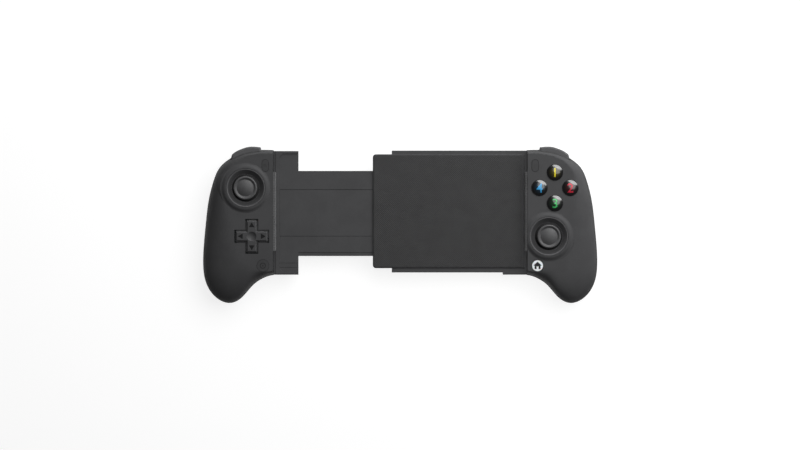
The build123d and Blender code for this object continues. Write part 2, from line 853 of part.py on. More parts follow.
def stick_yoke(side):
    """The frame that tips a thumbstick up and down, on two trunnions."""
    x, y = stick_place(side)
    with BuildPart() as yoke:
        with BuildSketch(Plane.XY.offset(pivot_z - yoke_height / 2)):
            with Locations((x, y)):
                Rectangle(yoke_length, yoke_width)
        extrude(amount=yoke_height)
        with BuildSketch(side_plane(x - trunnion_reach)):
            with Locations((y, pivot_z)):
                Circle(trunnion_radius)
        extrude(amount=2 * trunnion_reach)
        with BuildSketch(Plane.XY.offset(pivot_z - yoke_height)):
            with Locations((x, y)):
                Rectangle(yoke_window_length, yoke_window_width)
        extrude(amount=2 * yoke_height, mode=Mode.SUBTRACT)
        with BuildSketch(Plane.XZ.offset(-y - yoke_width)):
            with Locations((x, pivot_z)):
                Circle(stem_pin_radius + running_gap)
        extrude(amount=2 * yoke_width, mode=Mode.SUBTRACT)
    return yoke.part


def stick_stem(side):
    """A thumbstick's stem with its cross pin and dust dome."""
    x, y = stick_place(side)
    edge = math.radians(dome_edge_angle)
    inner = dome_radius - dome_thickness
    with BuildPart() as dome:
        with BuildSketch(Plane.XZ):
            with BuildLine():
                CenterArc((0, pivot_z), dome_radius, 90 - dome_edge_angle, dome_edge_angle)
                CenterArc((0, pivot_z), inner, 90 - dome_edge_angle, dome_edge_angle)
                Line((0, pivot_z + inner), (0, pivot_z + dome_radius))
                Line(
                    (inner * math.sin(edge), pivot_z + inner * math.cos(edge)),
                    (dome_radius * math.sin(edge), pivot_z + dome_radius * math.cos(edge)),
                )
            make_face()
        revolve(axis=Axis.Z)
    with BuildPart() as stem:
        add(Pos(x, y, 0) * dome.part)
        with BuildSketch(Plane.XY.offset(stem_foot_z)):
            with Locations((x, y)):
                Circle(stem_radius)
        extrude(amount=cap_bore_z - stick_press - stem_foot_z)
        with BuildSketch(Plane.XZ.offset(-y - stem_pin_length / 2)):
            with Locations((x, pivot_z)):
                Circle(stem_pin_radius)
        extrude(amount=stem_pin_length)
    return stem.part


def stick_cap(side):
    """A thumbstick's cap, with a rim, a groove and a domed middle."""
    bore = stem_radius + running_gap
    edge = (cap_radius, cap_edge_z)
    rim = (cap_rim_radius, cap_rim_z)
    groove = (cap_groove_radius, cap_groove_z)
    with BuildPart() as cap:
        with BuildSketch(Plane.XZ):
            with BuildLine():
                Polyline(
                    (bore, cap_neck_foot_z), (cap_neck_radius, cap_neck_foot_z),
                    (cap_neck_radius, cap_neck_top_z), (cap_base_radius, cap_base_z),
                    (cap_radius, cap_side_z), edge,
                )
                RadiusArc(rim, edge, cap_radius - cap_rim_radius)
                Polyline(rim, (cap_rim_inner, cap_rim_z), groove)
                TangentArc((0, cap_crown_z), groove, tangent=(1, 0))
                Polyline((0, cap_crown_z), (0, cap_bore_z), (bore, cap_bore_z), (bore, cap_neck_foot_z))
            make_face()
        revolve(axis=Axis.Z)
    x, y = stick_place(side)
    return Pos(x, y, 0) * cap.part


def face_button(place):
    """A domed round button with its flange and plunger."""
    plunger_z = board_top_z + membrane_sheet + dome_height + dome_gap
    flange_top_z = button_flange_z + button_flange_thickness
    shoulder = (button_radius - button_bevel, button_edge_z + button_bevel)
    with BuildPart() as button:
        with BuildSketch(Plane.XZ):
            with BuildLine():
                Polyline(
                    (0, button_top_z), (0, plunger_z), (button_plunger_radius, plunger_z),
                    (button_plunger_radius, button_flange_z), (button_flange_radius, button_flange_z),
                    (button_flange_radius, flange_top_z), (button_radius, flange_top_z),
                    (button_radius, button_edge_z), shoulder,
                )
                TangentArc((0, button_top_z), shoulder, tangent=(1, 0))
            make_face()
        revolve(axis=Axis.Z)
    return Pos(place[0], place[1], 0) * button.part


def dome_row(offsets, foot, top):
    """Hollow rubber domes standing on a membrane."""
    sheet_z = board_top_z + membrane_sheet
    with BuildPart() as domes:
        with Locations(*[(x, y, sheet_z) for x, y in offsets]):
            Cone(foot, top, dome_height, align=(Align.CENTER, Align.CENTER, Align.MIN))
        with Locations(*[(x, y, board_top_z) for x, y in offsets]):
            Cylinder(top - membrane_skin, dome_height + membrane_sheet - membrane_skin,
                     align=(Align.CENTER, Align.CENTER, Align.MIN), mode=Mode.SUBTRACT)
    return domes.part


def face_membrane():
    """The rubber membrane under the four face buttons."""
    width = button_spacing * math.sqrt(2) + 2 * (dome_foot + membrane_margin)
    with BuildPart() as membrane:
        with BuildSketch(Plane.XY.offset(board_top_z)):
            with Locations((upper_x, upper_y)):
                RectangleRounded(width, width, dome_foot + membrane_margin, rotation=45)
            with Locations(*button_places.values()):
                Circle(dome_top - membrane_skin, mode=Mode.SUBTRACT)
        extrude(amount=membrane_sheet)
        add(dome_row(list(button_places.values()), dome_foot, dome_top))
    return membrane.part


def dpad_domes():
    """Where the four domes under the direction pad stand."""
    return [
        (-lower_x + dx * dpad_plunger_place, lower_y + dy * dpad_plunger_place)
        for dx, dy in ((1, 0), (0, 1), (-1, 0), (0, -1))
    ]


def direction_membrane():
    """The rubber membrane under the direction pad."""
    with BuildPart() as membrane:
        with BuildSketch(Plane.XY.offset(board_top_z)):
            with Locations((-lower_x, lower_y)):
                Circle(dpad_plunger_place + dpad_dome_foot + dpad_membrane_margin)
                Circle(dpad_post_radius + flange_gap, mode=Mode.SUBTRACT)
            with Locations(*dpad_domes()):
                Circle(dpad_dome_top - membrane_skin, mode=Mode.SUBTRACT)
        extrude(amount=membrane_sheet)
        add(dome_row(dpad_domes(), dpad_dome_foot, dpad_dome_top))
    return membrane.part


def direction_post():
    """The post in the middle of the direction pad, with a cup for its ball."""
    with BuildPart() as post:
        with BuildSketch(Plane.XY.offset(board_top_z)):
            with Locations((-lower_x, lower_y)):
                Circle(dpad_post_radius)
        extrude(amount=dpad_post_top_z - board_top_z)
        with Locations((-lower_x, lower_y, dpad_ball_z)):
            Sphere(dpad_ball_radius + running_gap, mode=Mode.SUBTRACT)
    return post.part


def direction_pad():
    """The four-way cross with its retaining disc, hub and plungers."""
    plunger_z = board_top_z + membrane_sheet + dome_height + dome_gap
    with BuildPart() as pad:
        with BuildSketch(Plane.XY.offset(dpad_flange_z)):
            add(cross_sketch(0))
        extrude(amount=dpad_top_z - dpad_flange_z)
        top = pad.faces().sort_by(Axis.Z)[-1]
        chamfer(top.edges(), dpad_edge)
        with BuildSketch(Plane.XY.offset(dpad_flange_z)):
            Circle(dpad_flange_radius)
        extrude(amount=dpad_flange_thickness)
        with BuildSketch(Plane.XY.offset(dpad_hub_foot_z)):
            Circle(dpad_hub_radius)
        extrude(amount=dpad_flange_z - dpad_hub_foot_z)
        with BuildSketch(Plane.XY.offset(plunger_z)):
            with PolarLocations(dpad_plunger_place, 4):
                Circle(dpad_plunger_radius)
        extrude(amount=dpad_flange_z - plunger_z)
        # Dished middle and four outward arrows
        dish = (dpad_dimple_radius ** 2 + dpad_dimple_depth ** 2) / (2 * dpad_dimple_depth)
        with Locations((0, 0, dpad_top_z - dpad_dimple_depth + dish)):
            Sphere(dish, mode=Mode.SUBTRACT)
        with BuildSketch(Plane.XY.offset(dpad_top_z)):
            with PolarLocations(dpad_arrow_place, 4):
                RegularPolygon(dpad_arrow_radius, 3)
        extrude(amount=-dpad_arrow_depth, mode=Mode.SUBTRACT)
        with Locations((0, 0, dpad_ball_z)):
            Sphere(dpad_ball_radius + running_gap, mode=Mode.SUBTRACT)
    return Pos(-lower_x, lower_y, 0) * pad.part


def small_button(side, x, y, round_form):
    """A flush button with a flange under the face and a stem over its switch."""
    stem_z = board_top_z + switch_height + switch_plunger_height + switch_gap
    with BuildPart() as button:
        with BuildSketch(Plane.XY.offset(small_flange_z)):
            if round_form:
                Circle(round_radius + small_flange)
            else:
                SlotOverall(pill_length + 2 * small_flange, pill_width + 2 * small_flange, rotation=90)
        extrude(amount=small_flange_thickness)
        with BuildSketch(Plane.XY.offset(small_flange_z)):
            if round_form:
                Circle(round_radius)
            else:
                SlotOverall(pill_length, pill_width, rotation=90)
        extrude(amount=small_top_z - small_flange_z)
        with BuildSketch(Plane.XY.offset(stem_z)):
            Circle(small_stem_radius)
        extrude(amount=small_flange_z - stem_z)
    return Pos(side * x, y, 0) * button.part


def bumper(side):
    """A shoulder button, swinging on a pin at its inner end."""
    with BuildPart() as piece:
        with BuildSketch(Plane.XY.offset(bumper_bottom_z)):
            add(bumper_face(side, 0))
        extrude(amount=bumper_top_z - bumper_bottom_z)
        top = piece.faces().sort_by(Axis.Z)[-1]
        chamfer(top.edges(), bumper_edge)
        with BuildSketch(Plane.XY.offset(bumper_bottom_z - bumper_pin_reach)):
            with Locations((side * bumper_pivot_x, bumper_pivot_y)):
                Circle(bumper_pin_radius)
        extrude(amount=bumper_top_z - bumper_bottom_z + 2 * bumper_pin_reach)
    return piece.part


def trigger(side):
    """A trigger: a finger hook on a hub, trimmed in plan to lie behind the bumper."""
    hub_top = (trigger_pivot_y, trigger_pivot_z + trigger_hub_radius)
    hub_foot = (trigger_pivot_y, trigger_pivot_z - trigger_hub_radius)
    top = (trigger_pivot_y + trigger_top_reach, trigger_top_z)
    waist = (trigger_pivot_y + trigger_waist_reach, trigger_waist_z)
    tip = (trigger_pivot_y + trigger_tip_reach, trigger_tip_z)
    lip = (trigger_pivot_y + trigger_lip_reach, trigger_lip_z)
    inside = (trigger_pivot_y + trigger_inside_reach, trigger_inside_z)
    with BuildPart() as plan:
        with BuildSketch():
            add(bumper_face(1, -trigger_inset))
            with Locations((trigger_left - trigger_gap, trigger_pivot_y)):
                Rectangle(trigger_width + 2 * trigger_gap, 2 * trigger_hub_depth,
                          align=(Align.MIN, Align.CENTER))
        extrude(amount=face_z)
    with BuildPart() as piece:
        with BuildSketch(side_plane(trigger_left)):
            with BuildLine():
                Line(hub_top, top)
                Spline(top, waist, tip)
                Line(tip, lip)
                Spline(lip, inside, hub_foot)
                Line(hub_foot, hub_top)
            make_face()
            with Locations((trigger_pivot_y, trigger_pivot_z)):
                Circle(trigger_hub_radius)
                Circle(trigger_pin_radius + running_gap, mode=Mode.SUBTRACT)
        extrude(amount=trigger_width)
        add(plan.part, mode=Mode.INTERSECT)
    return sided(piece.part, side)


def trigger_pin(side):
    """The steel pin that a trigger turns on."""
    with BuildPart() as pin:
        with BuildSketch(side_plane(trigger_left - trigger_gap - trigger_pin_reach)):
            with Locations((trigger_pivot_y, trigger_pivot_z)):
                Circle(trigger_pin_radius)
        extrude(amount=trigger_width + 2 * (trigger_gap + trigger_pin_reach))
    return sided(pin.part, side)


def back_button(side):
    """A long button in the floor of a grip."""
    flange_z = grip_wall + running_gap
    with BuildPart() as button:
        with BuildSketch(Plane.XY.offset(back_button_bottom_z)):
            SlotOverall(back_button_length, back_button_width, rotation=90)
        extrude(amount=flange_z - back_button_bottom_z)
        outer = button.faces().sort_by(Axis.Z)[0]
        chamfer(outer.edges(), back_button_gap)
        with BuildSketch(Plane.XY.offset(flange_z)):
            SlotOverall(
                back_button_length + 2 * back_button_flange,
                back_button_width + 2 * back_button_flange,
                rotation=90,
            )
        extrude(amount=back_button_flange_thickness)
        with BuildSketch(Plane.XY.offset(flange_z)):
            Circle(small_stem_radius)
        extrude(amount=back_button_stem_z - flange_z)
    return Pos(side * back_button_x, back_button_y, 0) * button.part


def bridge_frame():
    """The tray of the right half that the sliding plate runs in, with its ledge and tongue."""
    with BuildPart() as frame:
        with BuildSketch(Plane.XY.offset(frame_bottom_z)):
            with Locations((frame_left, frame_foot_y)):
                Rectangle(frame_length, frame_top_y - frame_foot_y, align=(Align.MIN, Align.MIN))
            with Locations((inner_wall, ledge_foot_y)):
                Rectangle(ledge_length, frame_foot_y - ledge_foot_y, align=(Align.MAX, Align.MIN))
        extrude(amount=frame_top_z - frame_bottom_z)
        with BuildSketch(Plane.XY.offset(frame_bottom_z + frame_floor)):
            with Locations((frame_left, slide_foot_y - slide_gap)):
                Rectangle(frame_length - frame_end_wall, slide_top_y - slide_foot_y + 2 * slide_gap,
                          align=(Align.MIN, Align.MIN))
        extrude(amount=frame_top_z, mode=Mode.SUBTRACT)
        add(tongue(1))
        with BuildSketch(Plane.XY.offset(frame_top_z)):
            with Locations(*bridge_screw_places()):
                Circle(screw_radius + screw_bite_gap)
        extrude(amount=bridge_screw_tip_z - screw_hole_rest - frame_top_z, mode=Mode.SUBTRACT)
        # Socket opening
        with BuildSketch(Plane.XZ.offset(-ledge_foot_y)):
            with Locations((usb_x, usb_z)):
                SlotOverall(usb_width + 2 * usb_gap, usb_height + 2 * usb_gap)
        extrude(amount=-(usb_sunk + usb_depth), mode=Mode.SUBTRACT)
    return frame.part


def bridge_screw_places():
    """Where the screws that hold the telephone plate to the frame stand."""
    return [
        (bridge_screw_first_x + bridge_screw_pitch * column, y)
        for column in range(bridge_screw_columns)
        for y in (bridge_screw_top_y, bridge_screw_foot_y)
    ]


def countersink(grow):
    """The flat-headed form of a bridge screw, grown by a gap."""
    head_top_z = plate_top_z - bridge_screw_sink
    slope = screw_head_radius - screw_radius
    with BuildPart() as form:
        with BuildSketch(Plane.XZ):
            with BuildLine():
                Polyline(
                    (0, bridge_screw_tip_z), (screw_radius + grow, bridge_screw_tip_z),
                    (screw_radius + grow, head_top_z - slope), (screw_head_radius + grow, head_top_z),
                    (0, head_top_z), (0, bridge_screw_tip_z),
                )
            make_face()
        revolve(axis=Axis.Z)
    return form.part


def bridge_screws():
    """The flat-headed screws under the telephone pad."""
    with BuildPart() as screw:
        add(countersink(0))
        with BuildSketch(Plane.XY.offset(plate_top_z)):
            Rectangle(screw_recess_length, screw_recess_width)
            Rectangle(screw_recess_width, screw_recess_length)
        extrude(amount=-screw_recess_depth, mode=Mode.SUBTRACT)
    with BuildPart() as screws:
        with Locations(*[(x, y, 0) for x, y in bridge_screw_places()]):
            add(screw.part)
    return screws.part


def phone_plate():
    """The plate that carries the telephone, reaching out over the sliding plate."""
    right = phone_length / 2
    with BuildPart() as plate:
        with BuildSketch(Plane.XY.offset(frame_top_z)):
            with Locations((plate_left, plate_foot_y)):
                Rectangle(right - plate_left, plate_top_y - plate_foot_y, align=(Align.MIN, Align.MIN))
        extrude(amount=plate_thickness)
        left_corners = plate.edges().filter_by(Axis.Z).group_by(Axis.X)[0]
        fillet(left_corners, plate_corner)
        chamfer(plate.faces().sort_by(Axis.Z)[-1].edges(), plate_edge)
        with Locations(*[(x, y, 0) for x, y in bridge_screw_places()]):
            add(countersink(0), mode=Mode.SUBTRACT)
        with BuildSketch(Plane.XY.offset(plate_top_z - bridge_screw_sink)):
            with Locations(*bridge_screw_places()):
                Circle(screw_head_radius)
        extrude(amount=plate_thickness, mode=Mode.SUBTRACT)
    return plate.part


def phone_pad():
    """The thin rubber pad that the telephone lies on."""
    left = plate_left + plate_margin
    right = phone_length / 2 - pad_end_gap
    foot = plate_foot_y + plate_margin
    with BuildPart() as pad:
        with BuildSketch(Plane.XY.offset(plate_top_z)):
            with Locations((left, foot)):
                Rectangle(right - left, plate_top_y - plate_margin - foot, align=(Align.MIN, Align.MIN))
        extrude(amount=pad_thickness)
        left_corners = pad.edges().filter_by(Axis.Z).group_by(Axis.X)[0]
        fillet(left_corners, plate_corner - plate_margin)
    return pad.part


def usb_socket():
    """The charging socket: a rounded metal shell with a tongue inside."""
    face_y = ledge_foot_y + usb_sunk
    with BuildPart() as socket:
        with BuildSketch(Plane.XZ.offset(-face_y)):
            with Locations((usb_x, usb_z)):
                SlotOverall(usb_width, usb_height)
        extrude(amount=-usb_depth)
        with BuildSketch(Plane.XZ.offset(-face_y)):
            with Locations((usb_x, usb_z)):
                SlotOverall(usb_width - 2 * usb_wall, usb_height - 2 * usb_wall)
        extrude(amount=usb_back - usb_depth, mode=Mode.SUBTRACT)
        with BuildSketch(Plane.XZ.offset(usb_back - usb_depth - face_y)):
            with Locations((usb_x, usb_z)):
                Rectangle(usb_tongue_width, usb_tongue_height)
        extrude(amount=usb_depth - usb_back - usb_tongue_sunk)
    return socket.part


def slide_plate():
    """The T-shaped plate of the left half: a tray by the grip, and a plate that runs in the frame."""
    with BuildPart() as plate:
        with BuildSketch(Plane.XY.offset(frame_bottom_z)):
            with Locations((-inner_wall, tray_foot_y)):
                Rectangle(tray_length, tray_top_y - tray_foot_y, align=(Align.MIN, Align.MIN))
        extrude(amount=tray_rim_z - frame_bottom_z)
        long_edges = plate.faces().sort_by(Axis.Z)[-1].edges().filter_by(Axis.X)
        chamfer(long_edges, tray_edge)
        with BuildSketch(Plane.XY.offset(slide_top_z)) as recess:
            with Locations((tray_strip - inner_wall, tray_foot_y + tray_rim)):
                Rectangle(tray_length, tray_top_y - tray_foot_y - 2 * tray_rim, align=(Align.MIN, Align.MIN))
            corners = recess.vertices().group_by(Axis.X)[0]
            chamfer(corners, tray_corner)
        extrude(amount=tray_rim_z, mode=Mode.SUBTRACT)
        with BuildSketch(Plane.XY.offset(slide_bottom_z)):
            with Locations((tray_right, slide_foot_y)):
                Rectangle(slide_right - tray_right, slide_top_y - slide_foot_y, align=(Align.MIN, Align.MIN))
        extrude(amount=slide_top_z - slide_bottom_z)
        # Lowered rails along the running plate
        with BuildSketch(Plane.XY.offset(slide_top_z)):
            with Locations((tray_right, slide_foot_y)):
                Rectangle(slide_right - tray_right, rail_width, align=(Align.MIN, Align.MIN))
            with Locations((tray_right, slide_top_y)):
                Rectangle(slide_right - tray_right, rail_width, align=(Align.MIN, Align.MAX))
        extrude(amount=-rail_depth, mode=Mode.SUBTRACT)
        # Groove beside the grip, and two fine lines across the tray's foot
        with BuildSketch(Plane.XY.offset(tray_rim_z)):
            with Locations((-inner_wall, (tray_top_y + tray_foot_y) / 2)):
                Rectangle(2 * wall_groove_width, tray_top_y - tray_foot_y)
        extrude(amount=-wall_groove_depth, mode=Mode.SUBTRACT)
        with BuildSketch(Plane.XY.offset(slide_top_z)):
            for rise in (tray_line_rise, tray_line_rise + tray_line_pitch):
                with Locations((tray_strip - inner_wall, tray_foot_y + rise)):
                    Rectangle(tray_length, tray_line_width, align=(Align.MIN, Align.MIN))
        extrude(amount=-tray_line_depth, mode=Mode.SUBTRACT)
        add(tongue(-1))
        # Recess of the cover strip
        with BuildSketch(Plane.XY.offset(slide_top_z - cover_thickness)):
            with Locations((tray_strip - inner_wall, cover_foot_y - cover_line)):
                Rectangle(
                    slide_right - cover_end + inner_wall - tray_strip,
                    cover_top_y - cover_foot_y + 2 * cover_line,
                    align=(Align.MIN, Align.MIN),
                )
        extrude(amount=slide_top_z, mode=Mode.SUBTRACT)
        # Bores of the two return springs
        with BuildSketch(side_plane(spring_left)):
            with Locations((spring_top_y, spring_z), (spring_foot_y, spring_z)):
                Circle(spring_radius + spring_gap)
        extrude(amount=slide_right - spring_left, mode=Mode.SUBTRACT)
    return plate.part


def slide_cover():
    """The flush strip over the middle of the sliding plate."""
    left = tray_strip - inner_wall
    with BuildPart() as cover:
        with BuildSketch(Plane.XY.offset(slide_top_z - cover_thickness)):
            with Locations((left, cover_foot_y)):
                Rectangle(slide_right - cover_end - left - cover_line, cover_top_y - cover_foot_y,
                          align=(Align.MIN, Align.MIN))
        extrude(amount=cover_thickness)
    return cover.part


def return_springs():
    """The two long springs that draw the halves together, as plain tubes."""
    with BuildPart() as springs:
        with BuildSketch(side_plane(spring_left)):
            with Locations((spring_top_y, spring_z), (spring_foot_y, spring_z)):
                Circle(spring_radius)
                Circle(spring_bore, mode=Mode.SUBTRACT)
        extrude(amount=inner_wall - frame_end_wall - spring_left)
    return springs.part


def battery():
    """The flat battery in the left grip."""
    with BuildPart() as cell:
        with BuildSketch(Plane.XY.offset(grip_wall)):
            with Locations((-battery_x, battery_y)):
                Rectangle(battery_width, battery_length)
        extrude(amount=battery_height)
        fillet(cell.edges().filter_by(Axis.Y), battery_edge)
    return cell.part


for side, name in ((1, "right"), (-1, "left")):
    write(front_shell(side), name + "_front_shell")
    write(back_shell(side), name + "_back_shell")
    write(shell_screws(side), name + "_shell_screws")
    write(clamp_pad(side), name + "_clamp_pad")
    write(board(side), name + "_circuit_board")
    write(stick_module(side), name + "_stick_module")
    write(stick_ring(side), name + "_stick_ring")
    write(stick_yoke(side), name + "_stick_yoke")
    write(stick_stem(side), name + "_stick_stem")
    write(stick_cap(side), name + "_stick_cap")
    write(bumper(side), name + "_bumper")
    write(trigger(side), name + "_trigger")
    write(trigger_pin(side), name + "_trigger_pin")
    write(back_button(side), name + "_back_button")

for name, place in button_places.items():
    write(face_button(place), name + "_face_button")
write(face_membrane(), "face_button_membrane")
write(direction_pad(), "direction_pad")
write(direction_post(), "direction_pad_post")
write(direction_membrane(), "direction_pad_membrane")
with BuildPart() as ball:
    with Locations((-lower_x, lower_y, dpad_ball_z)):
        Sphere(dpad_ball_radius)
write(ball.part, "direction_pad_ball")

write(small_button(1, pill_x, pill_y, False), "menu_button")
write(small_button(1, round_x, round_y, True), "home_button")
write(small_button(-1, pill_x, pill_y, False), "view_button")
write(small_button(-1, round_x, round_y, True), "profile_button")

write(bridge_frame(), "bridge_frame")
write(bridge_screws(), "bridge_screws")
write(phone_plate(), "phone_plate")
write(phone_pad(), "phone_pad")
write(usb_socket(), "usb_c_socket")
write(slide_plate(), "slide_plate")
write(slide_cover(), "slide_cover")
write(return_springs(), "return_springs")
write(battery(), "battery")
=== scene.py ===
"""The looks of a telescopic telephone game controller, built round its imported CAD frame."""

import json
import math

import bmesh
import bpy
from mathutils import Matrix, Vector


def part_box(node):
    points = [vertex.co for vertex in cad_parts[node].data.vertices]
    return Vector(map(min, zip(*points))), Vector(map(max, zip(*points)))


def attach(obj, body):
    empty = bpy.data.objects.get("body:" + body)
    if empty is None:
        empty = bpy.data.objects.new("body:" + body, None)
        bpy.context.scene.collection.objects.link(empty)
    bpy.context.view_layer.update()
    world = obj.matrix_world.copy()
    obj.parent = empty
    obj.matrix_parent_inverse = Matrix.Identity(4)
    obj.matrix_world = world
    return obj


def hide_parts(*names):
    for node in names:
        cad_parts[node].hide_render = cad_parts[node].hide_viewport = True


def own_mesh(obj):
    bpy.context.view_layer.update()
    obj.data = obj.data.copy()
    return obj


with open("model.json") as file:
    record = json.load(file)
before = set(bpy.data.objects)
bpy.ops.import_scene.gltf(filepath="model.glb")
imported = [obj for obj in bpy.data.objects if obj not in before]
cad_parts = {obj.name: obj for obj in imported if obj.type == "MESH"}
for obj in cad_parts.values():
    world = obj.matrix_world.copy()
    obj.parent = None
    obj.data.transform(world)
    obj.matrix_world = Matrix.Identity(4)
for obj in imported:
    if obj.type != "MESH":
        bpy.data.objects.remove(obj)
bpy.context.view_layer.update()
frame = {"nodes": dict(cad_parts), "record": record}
nodes = frame["nodes"]
scene = bpy.context.scene
scene.view_settings.view_transform = "Standard"

# Lengths are in metres
mm = 0.001


def middle(name):
    """Centre of a CAD node in plan."""
    low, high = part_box(name)
    return ((low.x + high.x) / 2, (low.y + high.y) / 2)


def top(name):
    """Height of a CAD node's highest point."""
    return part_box(name)[1].z


# Camera: straight down onto the face, as in the photograph

view_width = 0.54
view_middle = (-0.14 * mm, -0.34 * mm)
face_plane = 0.019
sensor_width = 36.0
lens = 180.0
far_clip = 30.0
camera_data = bpy.data.cameras.new("photo_camera")
camera_data.sensor_width = sensor_width
camera_data.lens = lens
camera_data.clip_end = far_clip
camera = bpy.data.objects.new("photo_camera", camera_data)
camera.location = (*view_middle, face_plane + view_width * lens / sensor_width)
scene.collection.objects.link(camera)
scene.camera = camera

# Node helpers

finishes = {}
bevel_samples = 6
# Likeness of two normals where an edge starts, and where it is full
edge_start, edge_full = 0.995, 0.80


class Look:
    """One material, kept in finishes by its name, with short calls that build its nodes."""

    def __init__(self, name):
        self.material = bpy.data.materials.new(name)
        self.material.use_nodes = True
        self.tree = self.material.node_tree
        self.shader = self.tree.nodes["Principled BSDF"]
        places = self.add("ShaderNodeTexCoord")
        self.coords = places.outputs["Object"]
        self.directions = places.outputs["Normal"]
        finishes[name] = self.material

    def add(self, kind, **settings):
        """A new node with these settings."""
        node = self.tree.nodes.new(kind)
        for key, value in settings.items():
            setattr(node, key, value)
        return node

    def put(self, socket, value):
        """Links another node's output to a socket, or sets the socket to a number or colour."""
        if hasattr(value, "is_output"):
            self.tree.links.new(value, socket)
        else:
            socket.default_value = value

    def shade(self, sockets):
        """Puts a value on each of the shader's sockets that is named."""
        for socket, value in sockets.items():
            self.put(self.shader.inputs[socket], value)

    def recolour(self, where, colour):
        """Lays a colour over the base colour, where a mask is 1."""
        base = self.shader.inputs["Base Color"]
        self.put(base, self.mix(where, base.links[0].from_socket, colour))

    def math(self, operation, first, second=0.0):
        """The result of an operation on one or two numbers."""
        node = self.add("ShaderNodeMath", operation=operation)
        self.put(node.inputs[0], first)
        self.put(node.inputs[1], second)
        return node.outputs[0]

    def times(self, first, second):
        """The product of two numbers."""
        return self.math("MULTIPLY", first, second)

    def vector(self, operation, first, second=(0, 0, 0), out="Vector"):
        """The result of an operation on one or two vectors."""
        node = self.add("ShaderNodeVectorMath", operation=operation)
        self.put(node.inputs[0], first)
        self.put(node.inputs[1], second)
        return node.outputs[out]

    def length(self, value):
        """A vector's length."""
        return self.vector("LENGTH", value, out="Value")

    def split(self, value):
        """A vector's x, y and z."""
        node = self.add("ShaderNodeSeparateXYZ")
        self.put(node.inputs[0], value)
        return node.outputs

    def noise(self, size, detail=3.0, roughness=0.5, coords=None):
        """Noise whose blobs are about size metres across."""
        node = self.add("ShaderNodeTexNoise")
        self.put(node.inputs["Vector"], coords or self.coords)
        node.inputs["Scale"].default_value = 1.0 / size
        node.inputs["Detail"].default_value = detail
        node.inputs["Roughness"].default_value = roughness
        return node.outputs["Fac"]

    def cells(self, size, unevenness):
        """Distance from the middle of the nearest cell, where a cell is about size metres across."""
        node = self.add("ShaderNodeTexVoronoi")
        self.put(node.inputs["Vector"], self.coords)
        node.inputs["Scale"].default_value = 1.0 / size
        node.inputs["Randomness"].default_value = unevenness
        return node.outputs["Distance"]

    def wave(self, value, length):
        """A sine wave of this length along value."""
        return self.math("SINE", self.times(value, 2 * math.pi / length))

    def ramp(self, value, low, high, to_low=0.0, to_high=1.0):
        """A smooth step from to_low, where value is low, to to_high, where it is high."""
        node = self.add("ShaderNodeMapRange", interpolation_type="SMOOTHSTEP")
        for socket, number in zip(node.inputs, (value, low, high, to_low, to_high)):
            self.put(socket, number)
        return node.outputs[0]

    def spread(self, noise, to_low=0.0, to_high=1.0, cut=0.3):
        """A ramp over the middle of a noise, which leaves out cut at each end."""
        return self.ramp(noise, cut, 1 - cut, to_low, to_high)

    def mix(self, factor, first, second):
        """A blend from the first colour to the second."""
        node = self.add("ShaderNodeMix", data_type="RGBA")
        self.put(node.inputs["Factor"], factor)
        self.put(node.inputs["A"], first)
        self.put(node.inputs["B"], second)
        return node.outputs["Result"]

    def bump(self, height, distance, normal=None):
        """A normal that follows height, times distance in metres."""
        node = self.add("ShaderNodeBump")
        node.inputs["Distance"].default_value = distance
        self.put(node.inputs["Height"], height)
        if normal is not None:
            self.put(node.inputs["Normal"], normal)
        return node.outputs["Normal"]

    def true_normal(self):
        """The surface's own normal."""
        return self.add("ShaderNodeNewGeometry").outputs["Normal"]

    def rounded(self, radius):
        """The normal of the same surface with its edges rounded."""
        bevel = self.add("ShaderNodeBevel", samples=bevel_samples)
        bevel.inputs["Radius"].default_value = radius
        return bevel.outputs[0]

    def at_edges(self, rounded):
        """A mask that is 1 where a rounded normal leaves the surface's own."""
        likeness = self.vector("DOT_PRODUCT", rounded, self.true_normal(), out="Value")
        return self.ramp(likeness, edge_start, edge_full)


# Colours

blue_share = 1.03


def grey(value):
    """A linear grey, a touch cooler than neutral."""
    return (value, value, value * blue_share, 1.0)


def share_of(colour, share):
    """A colour with its red, green and blue times share."""
    return (*(c * share for c in colour[:3]), 1.0)


# Finishes


def plastic(name, tone, rough, grain=0.32 * mm, depth=0.012 * mm, edge=0.25 * mm, painted_edge_tone=0.55,
            side_shade_share=0.6, extra=None):
    """Moulded plastic: fine grain, faint clouds, edges painted a share of the tone (painted shade below
    1, painted highlight above 1), and painted shade on steep sides.
    """
    cloud_size = 18 * mm
    cloud_tone = 0.06
    speck_tone, speck_share = 0.7, 0.22
    edge_share = 0.8
    side_shade_tone, side_steep, side_level = 0.25, 0.15, 0.55
    rough_range = 0.04
    look = Look(name)
    normal = look.rounded(edge)
    fine = look.noise(grain, detail=2.0)
    cloud = look.noise(cloud_size, detail=4.0, roughness=0.6)
    clouded = look.mix(look.spread(cloud), grey(tone * (1 - cloud_tone)), grey(tone * (1 + cloud_tone)))
    specked = look.mix(look.spread(fine, 0.0, speck_share, cut=0.35), clouded, grey(tone * speck_tone))
    # Painted edge shade; where the edge tone is above 1 it is a painted highlight instead
    painted_edges = look.mix(look.times(look.at_edges(normal), edge_share), specked, grey(tone * painted_edge_tone))
    # Painted shade: steep faces are darker than level ones
    sides = look.ramp(look.split(look.directions)[2], side_steep, side_level, 1.0, 0.0)
    look.shade({
        "Base Color": look.mix(look.times(sides, side_shade_share), painted_edges, grey(tone * side_shade_tone)),
        "Roughness": look.spread(cloud, rough + rough_range, rough - rough_range, cut=0.25),
        "Specular IOR Level": 0.08,
    })
    normal = look.bump(fine, depth, normal)
    look.shade({"Normal": extra(look, normal) if extra else normal})


def grip_dots(look, normal):
    """Laser-cut dots that help the fingers hold the backs."""
    pitch, unevenness = 1.1 * mm, 0.15
    dot_core, dot_rim = 0.15, 0.42
    depth = 0.09 * mm
    dots = look.ramp(look.cells(pitch, unevenness), dot_core, dot_rim, 1.0, 0.0)
    return look.bump(dots, depth, normal)


